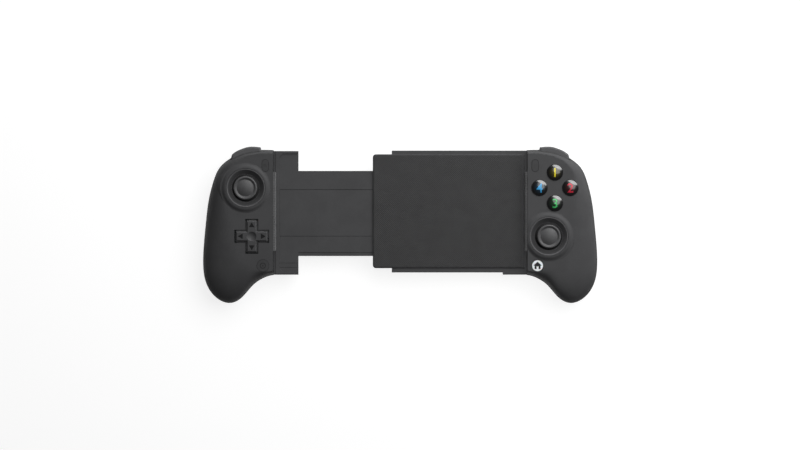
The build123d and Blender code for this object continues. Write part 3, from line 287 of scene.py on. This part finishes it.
def rubber(name, tone, rough, grain=0.2 * mm, extra=None):
    """Soft-touch rubber with a faint bloom and paler edges."""
    edge = 0.25 * mm
    depth = 0.01 * mm
    cloud_size = 9 * mm
    dark_tone, pale_tone = 0.9, 1.12
    edge_tone, edge_share = 1.5, 0.5
    rough_range = 0.06
    look = Look(name)
    normal = look.rounded(edge)
    fine = look.noise(grain, detail=3.0)
    cloud = look.noise(cloud_size, detail=4.0, roughness=0.65)
    clouded = look.mix(look.spread(cloud), grey(tone * dark_tone), grey(tone * pale_tone))
    edges = look.times(look.at_edges(normal), edge_share)
    look.shade({
        "Base Color": look.mix(edges, clouded, grey(tone * edge_tone)),
        "Roughness": look.spread(fine, rough - rough_range, rough + rough_range),
        "Specular IOR Level": 0.35,
        "Sheen Weight": 0.12,
        "Sheen Roughness": 0.6,
    })
    normal = look.bump(fine, depth, normal)
    look.shade({"Normal": extra(look, normal) if extra else normal})


def weave(look, normal):
    """A basket weave: two sets of threads that pass over and under each other, with painted shade
    between them.
    """
    pitch = 1.35 * mm
    depth = 0.09 * mm
    thread_share = 0.25
    gap_shade_tone, gap_deep, gap_shallow = 0.020, -0.9, 0.6
    x, y = look.split(look.coords)[:2]
    over = look.times(look.wave(x, pitch), look.wave(y, pitch))
    threads = look.math("ABSOLUTE", look.wave(look.math("ADD", x, y), pitch / 2))
    cloth = look.math("ADD", over, look.times(threads, thread_share))
    # Painted shade in the low gaps between threads
    look.recolour(look.ramp(cloth, gap_deep, gap_shallow, 1.0, 0.0), grey(gap_shade_tone))
    return look.bump(cloth, depth, normal)


def ribs(look, normal):
    """Fine ribs across the clamp pads, so that a telephone doesn't slip."""
    pitch = 1.1 * mm
    depth = 0.06 * mm
    return look.bump(look.wave(look.split(look.coords)[1], pitch), depth, normal)


def from_axis(look, centre):
    """Distance from an upright axis through centre."""
    outward = look.vector("SUBTRACT", look.coords, (*centre, 0))
    return look.length(look.vector("MULTIPLY", outward, (1, 1, 0)))


def turned(centre, lip):
    """Turning lines round centre, painted shade on the slope inside the radius lip, and a painted
    highlight as a bright line outside it.
    """
    pitch = 0.35 * mm
    depth = 0.006 * mm
    slope_shade_tone, slope_share = 0.042, 0.8
    slope_full, slope_end = lip - 1.2 * mm, lip - 0.4 * mm
    lip_highlight_tone, line_start = 0.115, lip - 0.1 * mm

    def lines(look, normal):
        radius = from_axis(look, centre)
        # Painted shade on the slope inside the lip, and a painted highlight just outside it
        look.recolour(look.ramp(radius, slope_full, slope_end, slope_share, 0.0), grey(slope_shade_tone))
        look.recolour(look.ramp(radius, line_start, lip), grey(lip_highlight_tone))
        return look.bump(look.wave(radius, pitch), depth, normal)
    return lines


def arrow_floors(centre, face, inside, depth):
    """Painted shade on the floors in the arrows: level, about depth below face, and outside the radius
    inside.
    """
    floor_tone = 0.016
    level_normal = 0.97
    shallow_share, deep_share = 0.5, 1.5

    def darken(look, normal):
        height = look.split(look.coords)[2]
        upright = look.split(look.directions)[2]
        sunk = look.math("LESS_THAN", height, face - depth * shallow_share)
        not_deep = look.math("GREATER_THAN", height, face - depth * deep_share)
        level = look.math("GREATER_THAN", upright, level_normal)
        outside = look.math("GREATER_THAN", from_axis(look, centre), inside)
        at_depth = look.times(sunk, not_deep)
        # Painted shade in the recessed arrows
        look.recolour(look.times(at_depth, look.times(level, outside)), grey(floor_tone))
        return normal
    return darken


def on_ball(look, normal, ball):
    """The smooth normal of a ball, given as its centre and radius, where the surface lies on it."""
    on_it, off_it = 0.10 * mm, 0.16 * mm
    centre, radius = ball
    outward = look.vector("SUBTRACT", look.coords, centre)
    away = look.math("ABSOLUTE", look.math("SUBTRACT", look.length(outward), radius))
    turn = look.add("ShaderNodeVectorTransform", vector_type="NORMAL")
    turn.convert_from = "OBJECT"
    turn.convert_to = "WORLD"
    look.put(turn.inputs[0], look.vector("NORMALIZE", outward))
    blend = look.add("ShaderNodeMix", data_type="VECTOR")
    look.put(blend.inputs["Factor"], look.ramp(away, on_it, off_it, 1.0, 0.0))
    look.put(blend.inputs["A"], normal)
    look.put(blend.inputs["B"], turn.outputs[0])
    return blend.outputs["Result"]


def glossy(name, colour, glow, ball):
    """A dome of polished plastic under a clear coat, with faint smudges, and a tint round its sign."""
    edge = 0.3 * mm
    cloud_size, cloud_tone = 2.2 * mm, 0.75
    smudge_start, smudge_full = 0.45, 0.72
    clean_rough, smudged_rough = 0.30, 0.35
    dust_size, dust_depth = 0.12 * mm, 0.0012 * mm
    glow_full, glow_end = 1.2 * mm, 4.6 * mm
    centre = ball[0]
    look = Look(name)
    cloud = look.noise(cloud_size, detail=5.0, roughness=0.62)
    clouded = look.mix(look.spread(cloud, cut=0.35), share_of(colour, cloud_tone), colour)
    near = look.ramp(from_axis(look, centre[:2]), glow_full, glow_end, 1.0, 0.0)
    normal = on_ball(look, look.rounded(edge), ball)
    smooth = look.bump(look.noise(dust_size, detail=1.0), dust_depth, normal)
    look.shade({
        "Base Color": look.mix(near, clouded, glow),
        "Roughness": look.ramp(cloud, smudge_start, smudge_full, clean_rough, smudged_rough),
        "Specular IOR Level": 0.3,
        "Coat Weight": 1.0,
        "Coat Roughness": 0.18,
        "Coat IOR": 1.75,
        "Normal": smooth,
        "Coat Normal": smooth,
    })


def metal(name, tone, rough, along=(1, 1, 1)):
    """Metal with fine drawn or plated grain, stretched by along."""
    edge = 0.1 * mm
    grain, depth = 0.16 * mm, 0.003 * mm
    spot_size, spot_tone = 3 * mm, 0.72
    spot_start, spot_end = 0.35, 0.7
    rough_less, rough_more = 0.05, 0.09
    colour = grey(tone)
    look = Look(name)
    stretched = look.vector("MULTIPLY", look.coords, along)
    fine = look.noise(grain, detail=4.0, coords=stretched)
    spots = look.ramp(look.noise(spot_size, detail=4.0, roughness=0.6), spot_start, spot_end)
    look.shade({
        "Base Color": look.mix(spots, share_of(colour, spot_tone), colour),
        "Metallic": 1.0,
        "Roughness": look.spread(fine, rough - rough_less, rough + rough_more),
        "Normal": look.bump(fine, depth, look.rounded(edge)),
    })


def board(name):
    """Black solder mask over copper tracks, with a faint woven glass ground."""
    edge = 0.1 * mm
    tracks_per_metre = 210.0
    track_gap, track_depth = 0.035, 0.04 * mm
    glass_size, glass_tone, glass_share = 0.9 * mm, 0.014, 0.4
    smoothest, roughest = 0.26, 0.40
    look = Look(name)
    tracks = look.add("ShaderNodeTexBrick", offset=0.35)
    look.put(tracks.inputs["Vector"], look.coords)
    tracks.inputs["Scale"].default_value = tracks_per_metre
    tracks.inputs["Mortar Size"].default_value = track_gap
    tracks.inputs["Color1"].default_value = (0.008, 0.010, 0.011, 1)
    tracks.inputs["Color2"].default_value = (0.012, 0.015, 0.016, 1)
    tracks.inputs["Mortar"].default_value = (0.030, 0.034, 0.034, 1)
    glass = look.noise(glass_size, detail=3.0)
    ground = look.spread(glass, 0.0, glass_share)
    look.shade({
        "Base Color": look.mix(ground, tracks.outputs["Color"], grey(glass_tone)),
        "Roughness": look.spread(glass, smoothest, roughest),
        "Normal": look.bump(tracks.outputs["Fac"], track_depth, look.rounded(edge)),
    })


def silicone(name):
    """Cloudy dark silicone rubber that lets a little light into it."""
    cloud_size = 4 * mm
    dark_tone, pale_tone = 0.020, 0.032
    bloom_size = 0.4 * mm
    smoothest, roughest = 0.45, 0.60
    ripple_size, ripple_depth = 0.6 * mm, 0.01 * mm
    look = Look(name)
    cloud = look.noise(cloud_size, detail=4.0)
    look.shade({
        "Base Color": look.mix(look.spread(cloud), grey(dark_tone), grey(pale_tone)),
        "Roughness": look.spread(look.noise(bloom_size), smoothest, roughest),
        "Subsurface Weight": 0.1,
        "Subsurface Scale": 1 * mm,
        "Normal": look.bump(look.noise(ripple_size), ripple_depth),
    })


def white_button(name, centre, rim):
    """White translucent plastic with a satin surface, painted dark outside the radius rim."""
    edge = 0.15 * mm
    cloud_size = 3 * mm
    dull_white, clear_white = (0.78, 0.79, 0.80, 1), (0.86, 0.87, 0.88, 1)
    rim_tone, rim_blur = 0.04, 0.03 * mm
    smoothest, roughest = 0.26, 0.36
    ripple_size, ripple_depth = 0.4 * mm, 0.004 * mm
    look = Look(name)
    cloud = look.noise(cloud_size, detail=3.0)
    white = look.mix(look.spread(cloud), dull_white, clear_white)
    outside = look.ramp(from_axis(look, centre), rim - rim_blur, rim + rim_blur)
    look.shade({
        "Base Color": look.mix(outside, white, grey(rim_tone)),
        "Roughness": look.spread(cloud, smoothest, roughest),
        "Subsurface Weight": 0.15,
        "Subsurface Scale": 1 * mm,
        "Normal": look.bump(look.noise(ripple_size), ripple_depth, look.rounded(edge)),
    })


def film(name):
    """The battery's metallised wrap, with wrinkles."""
    edge = 0.4 * mm
    fold_size, fold_depth = 6 * mm, 0.25 * mm
    dark_fold, pale_fold = (0.20, 0.22, 0.25, 1), (0.32, 0.34, 0.37, 1)
    smoothest, roughest = 0.30, 0.46
    look = Look(name)
    folds = look.noise(fold_size, detail=5.0, roughness=0.62)
    look.shade({
        "Base Color": look.mix(look.spread(folds), dark_fold, pale_fold),
        "Roughness": look.spread(folds, smoothest, roughest),
        "Metallic": 0.6,
        "Normal": look.bump(folds, fold_depth, look.rounded(edge)),
    })


def paint(name, colour, coat=0.1, ball=None):
    """Ink, under a clear coat as strong as coat, with a ball's smooth normal if one is given."""
    cloud_size, cloud_tone = 0.8 * mm, 0.82
    smoothest, roughest = 0.28, 0.40
    ripple_size, ripple_depth = 0.2 * mm, 0.001 * mm
    look = Look(name)
    normal = look.true_normal()
    if ball:
        normal = on_ball(look, normal, ball)
    cloud = look.noise(cloud_size, detail=3.0)
    smooth = look.bump(look.noise(ripple_size), ripple_depth, normal)
    look.shade({
        "Base Color": look.mix(look.spread(cloud), share_of(colour, cloud_tone), colour),
        "Roughness": look.spread(cloud, smoothest, roughest),
        "Specular IOR Level": 0.25,
        "Coat Weight": coat,
        "Coat Roughness": 0.20,
        "Coat IOR": 1.6,
        "Normal": smooth,
        "Coat Normal": smooth,
    })


# The face buttons' domes, as in part.py

button_radius = 5.3 * mm
button_bevel = 0.4 * mm
dome_foot = 32.4 * mm


def button_ball(name):
    """Centre and radius of the ball that a face button's dome is part of."""
    rise = top(name) - dome_foot
    radius = ((button_radius - button_bevel) ** 2 + rise * rise) / (2 * rise)
    return (*middle(name), top(name) - radius), radius


# Finishes of the CAD nodes, named by material slot

# Edge tones below 1 paint shade on the edges; every plastic gets painted shade on its steep sides
plastic("front_housing", tone=0.066, rough=0.58, edge=0.4 * mm, painted_edge_tone=0.3)
plastic("back_housing", tone=0.052, rough=0.62, extra=grip_dots)
plastic("bridge_plastic", tone=0.070, rough=0.58)
plastic("telephone_plate", tone=0.060, rough=0.55)
rubber("telephone_rubber", tone=0.034, rough=0.66, extra=weave)
rubber("clamp_rubber", tone=0.080, rough=0.60, extra=ribs)
rubber("stick_rubber", tone=0.068, rough=0.50, grain=0.14 * mm)
plastic("stick_dome", tone=0.032, rough=0.34, grain=0.12 * mm, depth=0.002 * mm)
plastic("stick_mechanism", tone=0.10, rough=0.45)
plastic("control_plastic", tone=0.058, rough=0.50, grain=0.2 * mm, depth=0.006 * mm)
plastic(
    "shoulder_plastic", tone=0.092, rough=0.42, grain=0.2 * mm, depth=0.006 * mm, edge=0.4 * mm,
    painted_edge_tone=0.3,
)
plastic("back_button_plastic", tone=0.055, rough=0.46)
plastic("post_plastic", tone=0.26, rough=0.45)
metal("screw_steel", tone=0.10, rough=0.34)
metal("pin_steel", tone=0.55, rough=0.22, along=(0.2, 1, 1))
metal("socket_metal", tone=0.50, rough=0.28, along=(1, 0.2, 1))
white_button("home_white", middle("home_button"), rim=3.65 * mm)
board("circuit_board")
silicone("membrane_rubber")
film("battery_film")

# Finishes of single nodes, named by node

# The pad's edges get a painted highlight, and its steep sides painted shade at full share
plastic(
    "direction_pad", tone=0.066, rough=0.40, grain=0.2 * mm, depth=0.005 * mm, painted_edge_tone=1.5, side_shade_share=1.0,
    extra=arrow_floors(middle("direction_pad"), top("direction_pad"), inside=4.9 * mm, depth=0.45 * mm),
)
for name in ("right_stick_ring", "left_stick_ring"):
    lines = turned(middle(name), lip=12.1 * mm)
    plastic(name, tone=0.058, rough=0.38, grain=0.2 * mm, depth=0.004 * mm, extra=lines)

button_tone = 0.003
glow_share = 0.05
sign_colours = {
    "top": (0.86, 0.72, 0.03, 1),
    "right": (0.66, 0.03, 0.06, 1),
    "bottom": (0.07, 0.55, 0.15, 1),
    "left": (0.05, 0.36, 0.70, 1),
}
for place, colour in sign_colours.items():
    name = f"{place}_face_button"
    glossy(name, grey(button_tone), share_of(colour, glow_share), button_ball(name))

for part in frame["record"]["subparts"]:
    name = part["node"]
    finish = finishes.get(name) or finishes[part["material_slot"]]
    mesh = nodes[name].data
    mesh.materials.clear()
    mesh.materials.append(finish)

# Printed signs

ink_thickness = 0.05 * mm
ink_rise_share = 0.4
longest_edge = 0.7 * mm
split_rounds = 6
sliver = 0.005 * mm
same_place = 0.002 * mm


def finished(work, name):
    """Ends a bmesh as a new object in the scene."""
    mesh = bpy.data.meshes.new(name)
    work.to_mesh(mesh)
    work.free()
    piece = bpy.data.objects.new(name, mesh)
    scene.collection.objects.link(piece)
    return piece


def flat_sign(name, work, body, ink, height):
    """Splits a flat shape finely, lays it on the surface that height gives, and thickens it."""
    bmesh.ops.triangulate(work, faces=work.faces)
    bmesh.ops.dissolve_degenerate(work, dist=sliver, edges=work.edges)
    bmesh.ops.triangulate(work, faces=work.faces)
    for _ in range(split_rounds):
        long = [e for e in work.edges if e.calc_length() > longest_edge]
        if not long:
            break
        bmesh.ops.subdivide_edges(work, edges=long, cuts=1)
        bmesh.ops.triangulate(work, faces=work.faces)
    bmesh.ops.remove_doubles(work, verts=work.verts, dist=same_place)
    for v in work.verts:
        v.co.z = height(v.co.x, v.co.y) + ink_thickness * ink_rise_share
    bmesh.ops.recalc_face_normals(work, faces=work.faces)
    if sum(f.normal.z for f in work.faces) < 0:
        bmesh.ops.reverse_faces(work, faces=work.faces)
    piece = finished(work, name)
    skin = piece.modifiers.new("thickness", "SOLIDIFY")
    skin.thickness = ink_thickness
    skin.offset = -1.0
    piece.data.materials.append(finishes[ink])
    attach(piece, body)


def numeral_shape(text, size, x, y):
    """A numeral as a flat shape, centred at x, y."""
    bolder_share = 0.006
    curve = bpy.data.curves.new("numeral", "FONT")
    curve.body = text
    curve.size = size
    curve.offset = size * bolder_share
    curve.resolution_u = 6
    holder = bpy.data.objects.new("numeral", curve)
    scene.collection.objects.link(holder)
    bpy.context.view_layer.update()
    mesh = bpy.data.meshes.new_from_object(holder.evaluated_get(bpy.context.evaluated_depsgraph_get()))
    bpy.data.objects.remove(holder)
    bpy.data.curves.remove(curve)
    work = bmesh.new()
    work.from_mesh(mesh)
    bpy.data.meshes.remove(mesh)
    xs = [v.co.x for v in work.verts]
    ys = [v.co.y for v in work.verts]
    shift = Vector((x - (min(xs) + max(xs)) / 2, y - (min(ys) + max(ys)) / 2, 0))
    for v in work.verts:
        v.co += shift
    return work


def outline_shape(outlines):
    """Flat faces from closed outlines, each a list of (x, y)."""
    work = bmesh.new()
    for outline in outlines:
        work.faces.new([work.verts.new((x, y, 0)) for x, y in outline])
    work.normal_update()
    return work


def placed(corners, centre):
    """An outline from corners in millimetres from a centre."""
    return [(centre[0] + x * mm, centre[1] + y * mm) for x, y in corners]


def bar(x, y, wide, high):
    """The outline of a rectangle centred at x, y."""
    right, up = wide / 2, high / 2
    return [(x - right, y - up), (x + right, y - up), (x + right, y + up), (x - right, y + up)]


def hollow_bar(x, y, wide, high, line):
    """Four mitred outlines round a rectangle, as wide as line."""
    outer = bar(x, y, wide, high)
    inner = bar(x, y, wide - 2 * line, high - 2 * line)
    return [[outer[i - 1], outer[i], inner[i], inner[i - 1]] for i in range(4)]


def band(x, y, inner, outer, steps=28):
    """Four-cornered outlines round a ring from the radius inner to the radius outer."""
    outlines = []
    angles = [math.radians(360 * i / steps) for i in range(steps + 1)]
    for start, end in zip(angles, angles[1:]):
        outlines.append([
            (x + inner * math.cos(start), y + inner * math.sin(start)),
            (x + outer * math.cos(start), y + outer * math.sin(start)),
            (x + outer * math.cos(end), y + outer * math.sin(end)),
            (x + inner * math.cos(end), y + inner * math.sin(end)),
        ])
    return outlines


def on_button(x, y, ball):
    """Height of the top of a ball at x, y."""
    centre, radius = ball
    away = (x - centre[0]) ** 2 + (y - centre[1]) ** 2
    return centre[2] + math.sqrt(max(radius * radius - away, 0.0))


numeral_size = 8.8 * mm
numeral_coat = 0.5
for number, (place, colour) in enumerate(sign_colours.items(), start=1):
    name = f"{place}_face_button"
    ball = button_ball(name)
    paint(f"{place}_ink", colour, numeral_coat, ball)
    numeral = numeral_shape(str(number), numeral_size, *middle(name))
    flat_sign(
        f"{place}_numeral", numeral, f"{place}_face_key", f"{place}_ink",
        lambda x, y: on_button(x, y, ball),
    )

small_top = top("home_button")
dark_ink_tone, grey_ink_tone = 0.012, 0.030
paint("dark_ink", grey(dark_ink_tone))
paint("grey_ink", grey(grey_ink_tone))


def on_small_button(x, y):
    """Height of the small buttons' flat tops, which are level."""
    return small_top


house_corners = (
    (-2.8, 0.1), (0.0, 2.7), (2.8, 0.1), (2.0, 0.1), (2.0, -2.3), (0.7, -2.3), (0.7, -0.5),
    (-0.7, -0.5), (-0.7, -2.3), (-2.0, -2.3), (-2.0, 0.1),
)
house = outline_shape([placed(house_corners, middle("home_button"))])
flat_sign("home_sign", house, "home_key", "dark_ink", on_small_button)

menu_x, menu_y = middle("menu_button")
menu_pitch = 0.75 * mm
menu_length, menu_line = 2.0 * mm, 0.28 * mm
bars = outline_shape([
    bar(menu_x, menu_y + row * menu_pitch, menu_length, menu_line) for row in (-1, 0, 1)
])
flat_sign("menu_sign", bars, "menu_key", "grey_ink", on_small_button)

view_x, view_y = middle("view_button")
window_shift = 0.35 * mm
window_wide, window_high, window_line = 1.5 * mm, 1.3 * mm, 0.24 * mm
hook_corners = (
    (-0.45, -0.90), (0.87, -0.90), (0.87, 0.40), (0.63, 0.40), (0.63, -0.66), (-0.45, -0.66),
)
windows = outline_shape([
    *hollow_bar(view_x - window_shift, view_y + window_shift, window_wide, window_high, window_line),
    placed(hook_corners, (view_x, view_y)),
])
flat_sign("view_sign", windows, "view_key", "grey_ink", on_small_button)

profile_x, profile_y = middle("profile_button")
target_inner, target_outer, target_dot = 1.55 * mm, 1.95 * mm, 0.8 * mm
target = outline_shape([
    *band(profile_x, profile_y, target_inner, target_outer),
    bar(profile_x, profile_y, target_dot, target_dot),
])
flat_sign("profile_sign", target, "profile_key", "dark_ink", on_small_button)

# Membranes, each dome a piece of its own

sheet_top = 13.8 * mm
dome_cut = sheet_top + 0.02 * mm
dome_reach = 4.0 * mm
same_corner = 0.001 * mm
sharp_angle = math.radians(30)


def slice_of(name, source, body, above, near=None):
    """A closed slice of a CAD node, above or below dome_cut, round a place in plan if one is given."""
    work = bmesh.new()
    work.from_mesh(nodes[source].data)
    bmesh.ops.remove_doubles(work, verts=work.verts, dist=same_corner)
    bmesh.ops.bisect_plane(
        work, geom=[*work.verts, *work.edges, *work.faces], plane_co=(0, 0, dome_cut),
        plane_no=(0, 0, 1), clear_inner=above, clear_outer=not above,
    )
    if near:
        far = [v for v in work.verts if math.dist(v.co.xy, near) > dome_reach]
        bmesh.ops.delete(work, geom=far, context="VERTS")
    open_edges = [e for e in work.edges if e.is_boundary]
    bmesh.ops.triangle_fill(work, edges=open_edges, use_beauty=True)
    bmesh.ops.recalc_face_normals(work, faces=work.faces)
    piece = finished(work, name)
    piece.data.shade_smooth()
    piece.data.set_sharp_from_angle(angle=sharp_angle)
    piece.data.materials.append(finishes["membrane_rubber"])
    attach(piece, body)
    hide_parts(source)
    return piece


def soft_dome(name, source, body, place):
    """One dome of a membrane, as a piece with a mesh of its own."""
    piece = slice_of(name, source, body, above=True, near=place)
    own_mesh(piece)


slice_of("face_membrane_sheet", "face_button_membrane", "right_half", above=False)
for place in sign_colours:
    soft_dome(
        f"{place}_button_dome", "face_button_membrane", "right_half",
        middle(f"{place}_face_button"),
    )

pad_reach = 8.2 * mm
pad_x, pad_y = middle("direction_pad")
pad_domes = {
    "right": (1, 0, "direction_pad_left_right"),
    "left": (-1, 0, "direction_pad_left_right"),
    "up": (0, 1, "direction_pad_up_down"),
    "down": (0, -1, "direction_pad_up_down"),
}
slice_of("pad_membrane_sheet", "direction_pad_membrane", "left_half", above=False)
for way, (dx, dy, joint) in pad_domes.items():
    place = (pad_x + dx * pad_reach, pad_y + dy * pad_reach)
    soft_dome(f"pad_{way}_dome", "direction_pad_membrane", "left_half", place)

# Wound springs in the bridge

wire_radius = 0.28 * mm
wire_sides = 6
spring_turns = 78
steps_per_turn = 14


def tube(name, points, radius, sides):
    """A closed round tube along points."""
    work = bmesh.new()
    rings = []
    side = None
    for i, point in enumerate(points):
        ahead = (points[min(i + 1, len(points) - 1)] - points[max(i - 1, 0)]).normalized()
        if side is None:
            side = ahead.orthogonal().normalized()
        side = (side - ahead * side.dot(ahead)).normalized()
        up = ahead.cross(side)
        rings.append([
            work.verts.new(point + (side * math.cos(angle) + up * math.sin(angle)) * radius)
            for angle in (2 * math.pi * k / sides for k in range(sides))
        ])
    for ring, following in zip(rings, rings[1:]):
        for k in range(sides):
            beside = (k + 1) % sides
            work.faces.new((ring[k], ring[beside], following[beside], following[k]))
    work.faces.new(list(reversed(rings[0])))
    work.faces.new(rings[-1])
    bmesh.ops.recalc_face_normals(work, faces=work.faces)
    piece = finished(work, name)
    for face in piece.data.polygons:
        face.use_smooth = len(face.vertices) == 4
    return piece


spring_low, spring_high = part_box("return_springs")
spring_length = spring_high.x - spring_low.x
spring_z = (spring_low.z + spring_high.z) / 2
spring_radius = (spring_high.z - spring_low.z) / 2
spring_rows = (spring_high.y - spring_radius, spring_low.y + spring_radius)
coil_radius = spring_radius - wire_radius
coil_length = spring_length - 2 * wire_radius
coil_steps = spring_turns * steps_per_turn
for number, row in enumerate(spring_rows, start=1):
    path = [
        Vector((
            spring_low.x + wire_radius + coil_length * i / coil_steps,
            row + coil_radius * math.cos(2 * math.pi * i / steps_per_turn),
            spring_z + coil_radius * math.sin(2 * math.pi * i / steps_per_turn),
        ))
        for i in range(coil_steps + 1)
    ]
    spring = tube(f"wound_spring_{number}", path, wire_radius, wire_sides)
    spring.data.materials.append(finishes["pin_steel"])
    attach(spring, "right_half")
    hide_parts("return_springs")
    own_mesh(spring)

# Floor: it takes the object's shadow, and glows for the camera and in reflections

floor_radius = 6.0
floor_drop = 0.05 * mm
floor_tone = 0.45
floor_glow = 0.70
work = bmesh.new()
bmesh.ops.create_circle(work, cap_ends=True, segments=96, radius=floor_radius)
floor = finished(work, "floor")
floor.location.z = -floor_drop
ground = Look("floor")
rays = ground.add("ShaderNodeLightPath").outputs
reflected = ground.math("MAXIMUM", rays["Is Glossy Ray"], rays["Is Transmission Ray"])
seen = ground.math("MAXIMUM", rays["Is Camera Ray"], reflected)
ground.shade({
    "Base Color": (floor_tone, floor_tone, floor_tone, 1),
    "Roughness": 0.9,
    "Specular IOR Level": 0.0,
    "Emission Color": (1, 1, 1, 1),
    "Emission Strength": ground.times(seen, floor_glow),
})
floor.data.materials.append(ground.material)

# Lamps and world

sky_colour = (0.98, 0.99, 1.0, 1)
sky_strength = 0.065
world = bpy.data.worlds.new("studio")
world.use_nodes = True
scene.world = world
sky = world.node_tree.nodes["Background"]
sky.inputs["Color"].default_value = sky_colour
sky.inputs["Strength"].default_value = sky_strength


def lamp(name, place, wide, high, power, shades=True):
    """A soft oval lamp at place that faces the middle of the object."""
    data = bpy.data.lights.new(name, "AREA")
    data.shape = "ELLIPSE"
    data.size = wide
    data.size_y = high
    data.energy = power
    data.use_shadow = shades
    light = bpy.data.objects.new(name, data)
    light.location = place
    light.rotation_mode = "QUATERNION"
    light.rotation_quaternion = (-Vector(place)).to_track_quat("-Z", "Y")
    scene.collection.objects.link(light)


lamp("key", place=(0.40, 0.42, 1.05), wide=1.4, high=1.1, power=7.6)
lamp("side", place=(0.36, 0.62, 0.34), wide=1.1, high=0.55, power=7.6, shades=False)
